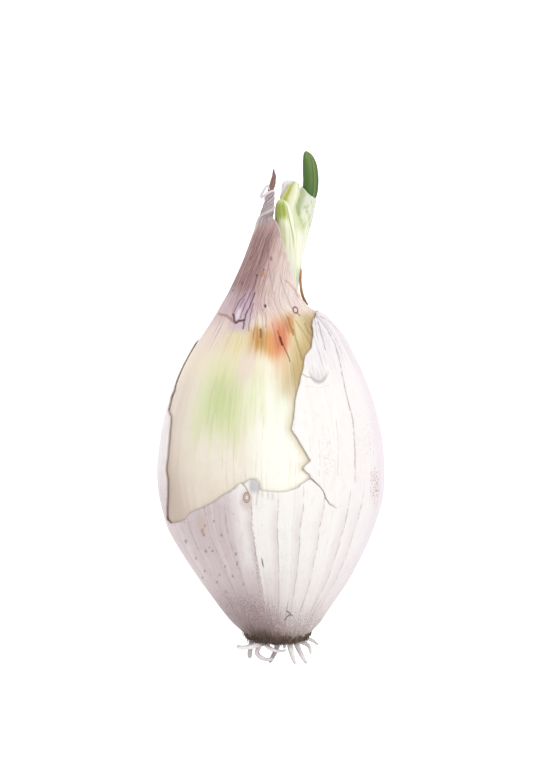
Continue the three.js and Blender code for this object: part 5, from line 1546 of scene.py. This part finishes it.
def dry_tip_material(name, light, mid, dark):
    g = G(name)
    pc = g.attr("pc", vec=True)
    co, si, yt = g.sep(pc)
    v, x, y, z, front = mm_coords(g)
    s = g.noise(g.scale(v, 3.4, 0.5, 3.4), 1.0, 4, 0.62)
    col = g.mix(g.ss(s, 0.35, 0.55), hexlin(light), hexlin(mid))
    col = g.mix(g.mul(g.ss(s, 0.55, 0.7), 0.8), col, hexlin(dark))
    col = g.mix(g.mul(g.ss(co, 0.5, 0.95), 0.6), col, hexlin(dark))
    col = g.mix(g.mul(g.ss(co, -0.6, -0.98), 0.5), col, hexlin(dark))
    n = g.bump(s, 0.0003, 0.9)
    return g, col, n, s, y


def spike_material():
    g, col, n, s, y = dry_tip_material("dry_brown_tip", "b08a80", "8f6a62", "573d40")
    col = g.mix(g.mul(g.ss(y, 69.8, 71.4), 0.85), col, hexlin("5e4144"))
    return g.finish(col, g.add(g.mul(s, 0.15), 0.55), n)


def sliver_material():
    g, col, n, s, y = dry_tip_material("dry_brown_sliver", "d0a57c", "b98c64", "8a5f45")
    col = g.mix(g.mul(g.ss(y, 35.0, 31.5), 0.8), col, hexlin("7d4f3e"))
    return g.finish(col, g.add(g.mul(s, 0.15), 0.55), n)


def root_material():
    g = G("waxy_root")
    pc = g.attr("pc", vec=True)
    co, si, l = g.sep(pc)
    v, x, y, z, front = mm_coords(g)
    along = g.attr("along")
    s = g.noise(g.scale(pc, 3.0, 3.0, 9.0), 1.0, 4, 0.6)
    blot = g.noise(g.scale(v, 0.35, 0.35, 0.35), 1.0, 2, 0.5)
    col = g.mix(g.ss(blot, 0.38, 0.62), hexlin("faf6f3"), hexlin("e9dfe2"))
    col = g.mix(g.mul(g.ss(s, 0.5, 0.66), 0.5), col, hexlin("c9b9bf"))
    # painted shadow on the roots further back, and painted shade along each root's flanks
    col = g.mix(g.mul(g.attr("shadow_grey"), 0.75), col, hexlin("a1979c"))
    col = g.mix(g.mul(g.ss(co, 0.45, 0.95), 0.55), col, hexlin("8f868a"))
    col = g.mix(g.mul(g.ss(co, -0.75, -1.0), 0.4), col, hexlin("9f969a"))
    col = g.mix(g.mul(g.ss(along, 0.16, 0.0), 0.9), col, hexlin("7d6862"))
    col = g.mix(g.mul(g.ss(along, 0.88, 1.0), 0.5), col, hexlin("9a8a80"))
    n = g.bump(s, 0.0002, 0.7)
    return g.finish(col, g.add(g.mul(s, 0.15), 0.35), n, Subsurface_Weight=0.12, Subsurface_Radius=(0.001, 0.0008, 0.0006), Subsurface_Scale=1.0)


def plate_material():
    g = G("fibrous_plate")
    v, x, y, z, front = mm_coords(g)
    a = g.noise(g.scale(v, 0.9, 2.2, 0.9), 1.0, 5, 0.65)
    b = g.noise(g.scale(v, 3.0, 3.0, 3.0), 1.0, 3, 0.6)
    col = g.mix(g.ss(a, 0.4, 0.62), hexlin("3c2a20"), hexlin("7a6353"))
    col = g.mix(g.mul(g.ss(b, 0.55, 0.7), 0.6), col, hexlin("a08c78"))
    n = g.bump(g.add(a, g.mul(b, 0.5)), 0.0006, 1.0)
    return g.finish(col, g.add(g.mul(b, 0.15), 0.75), n)


def fibre_material():
    g = G("dry_fibres")
    v, x, y, z, front = mm_coords(g)
    s = g.attr("shade")
    nz = g.noise(g.scale(v, 3.0, 0.8, 3.0), 1.0, 3, 0.6)
    col = g.mix(s, hexlin("33251c"), hexlin("705a48"))
    col = g.mix(g.mul(g.ss(nz, 0.5, 0.7), 0.5), col, hexlin("94806b"))
    n = g.bump(nz, 0.0001, 0.5)
    return g.finish(col, g.add(g.mul(nz, 0.1), 0.8), n)


def floor_material():
    g = G("studio_floor")
    v = g.obj()
    nz = g.noise(g.scale(v, 3, 3, 3), 1.0, 2, 0.5)
    col = g.mix(nz, hexlin("fbfbfb"), hexlin("fdfdfd"))
    return g.finish(col, 0.9, None, Specular_IOR_Level=0.0, Emission_Color=(1, 1, 1, 1), Emission_Strength=0.42)


# ==================================================================== pieces
def place(ob, mat, nodes):
    ob.data.materials.append(mat)
    if nodes:
        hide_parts(*nodes)
    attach(ob, "root")
    return ob


skin, SKIN_EDGE, skin_loop = build_skin()
place(skin, skin_material(), ["outer_skin"])
place(build_bulb(), bulb_material(), ["bulb"])

place(leaf_body("front_leaf", FRONT_SPROUT, 110, 72, front_shape), leaf_material("leaf_front", front_cols), ["sprout_front"])
place(leaf_body("middle_leaf", MIDDLE_SPROUT, 110, 64, middle_shape), leaf_material("leaf_middle", middle_cols), ["sprout_middle"])
place(sheath_body(), leaf_material("leaf_sheath", sheath_cols), ["sprout_sheath"])
place(leaf_body("green_blade", GREEN_LEAF, 90, 64, green_shape), leaf_material("leaf_green", green_cols), ["green_leaf"])
place(leaf_body("membrane_leaf", MEMBRANE, 50, 40, lambda T, F, Y: (1 + 0.03 * VEINS(T), 0.5 * np.cos(T) ** 2 - 0.25 + 0.1 * np.sin(Y * 1.7 + 2 * np.cos(T)), 0 * T)),
      membrane_material(), ["sprout_membrane"])


def spike_shape(T, F, Y):
    deg = np.degrees(T)
    dz = 0.22 * gauss(deg, 75, 24) - 0.16 * gauss(deg, 120, 16) - 0.1 * gauss(deg, 40, 14)
    fade = 1 - sstep(Y, 70.0, 71.8)
    return 1 + 0.05 * VEINS(T), dz * fade, 0.06 * np.sin(Y * 2.1) * fade


place(leaf_body("dry_tip", SPIKE, 70, 40, spike_shape), spike_material(), ["neck_spike"])
place(leaf_body("dry_sliver", SLIVER, 60, 28, lambda T, F, Y: (1 + 0.06 * VEINS(T), 0.1 * np.sin(Y * 1.3), 0.05 * np.sin(Y * 1.1))),
      sliver_material(), ["skin_sliver"])
ribbon = ribbon_strip("white_strip", [(0.7, 63.4, 5.0), (1.15, 64.3, 5.2), (0.7, 65.0, 5.3), (-0.5, 64.6, 5.4), (-1.6, 63.9, 5.6), (-2.6, 63.25, 5.5),
                                      (-3.0, 63.4, 5.2), (-2.5, 64.5, 5.35), (-1.7, 65.8, 5.5), (-1.05, 66.6, 5.4), (-0.75, 66.1, 5.1), (-0.35, 65.2, 4.7)],
                      0.75, 0.14, (0.15, 0.1, 1.0))
place(ribbon, ribbon_material(), ["neck_ribbon"])

root_mat = root_material()
for k, (path, r, tip, shadow_grey) in enumerate(ROOTS):
    place(tube("cut_root_%02d" % (k + 1), path, r, tip, shadow_grey, seed=k + 1), root_mat, ["root_%02d" % (k + 1)])
place(build_plate(), plate_material(), ["basal_plate"])
place(build_fringe(), fibre_material(), [])

# ===================================================================== stage
bpy.ops.mesh.primitive_plane_add(size=6.0, location=(0, 0, 0))
floor = bpy.context.object
floor.name = "studio_floor"
floor.data.materials.append(floor_material())

scene = bpy.context.scene
scene.view_settings.view_transform = "Standard"
scene.view_settings.look = "None"
scene.view_settings.exposure = 0.0
scene.view_settings.gamma = 1.0

world = bpy.data.worlds.new("studio")
scene.world = world
world.use_nodes = True
bg = world.node_tree.nodes["Background"]
bg.inputs[0].default_value = (1.0, 1.0, 1.0, 1.0)
bg.inputs[1].default_value = 0.66


def area(name, loc, target, size, energy, color=(1, 1, 1)):
    li = bpy.data.lights.new(name, "AREA")
    li.shape = "DISK"
    li.size = size
    li.energy = energy
    li.color = color
    ob = bpy.data.objects.new(name, li)
    ob.location = loc
    ob.rotation_euler = (Vector(target) - Vector(loc)).to_track_quat("-Z", "Y").to_euler()
    scene.collection.objects.link(ob)
    return ob


area("key", (0.50, 0.26, 1.0), (0, 0, 0.03), 0.9, 5.2, (1.0, 0.985, 0.965))
area("fill", (-0.8, -0.2, 0.8), (0, 0, 0.03), 0.9, 1.3, (0.98, 0.975, 1.0))

cam = bpy.data.cameras.new("camera")
cam.lens = 400.0
cam.sensor_width = 36.0
cam.clip_end = 20.0
cob = bpy.data.objects.new("camera", cam)
dist = 400.0 * 0.228 / 36.0
cob.location = (0.0027, 0.0084, ZC * 0.001 + dist)
cob.rotation_euler = (0.0, 0.0, 0.0)
scene.collection.objects.link(cob)
scene.camera = cob
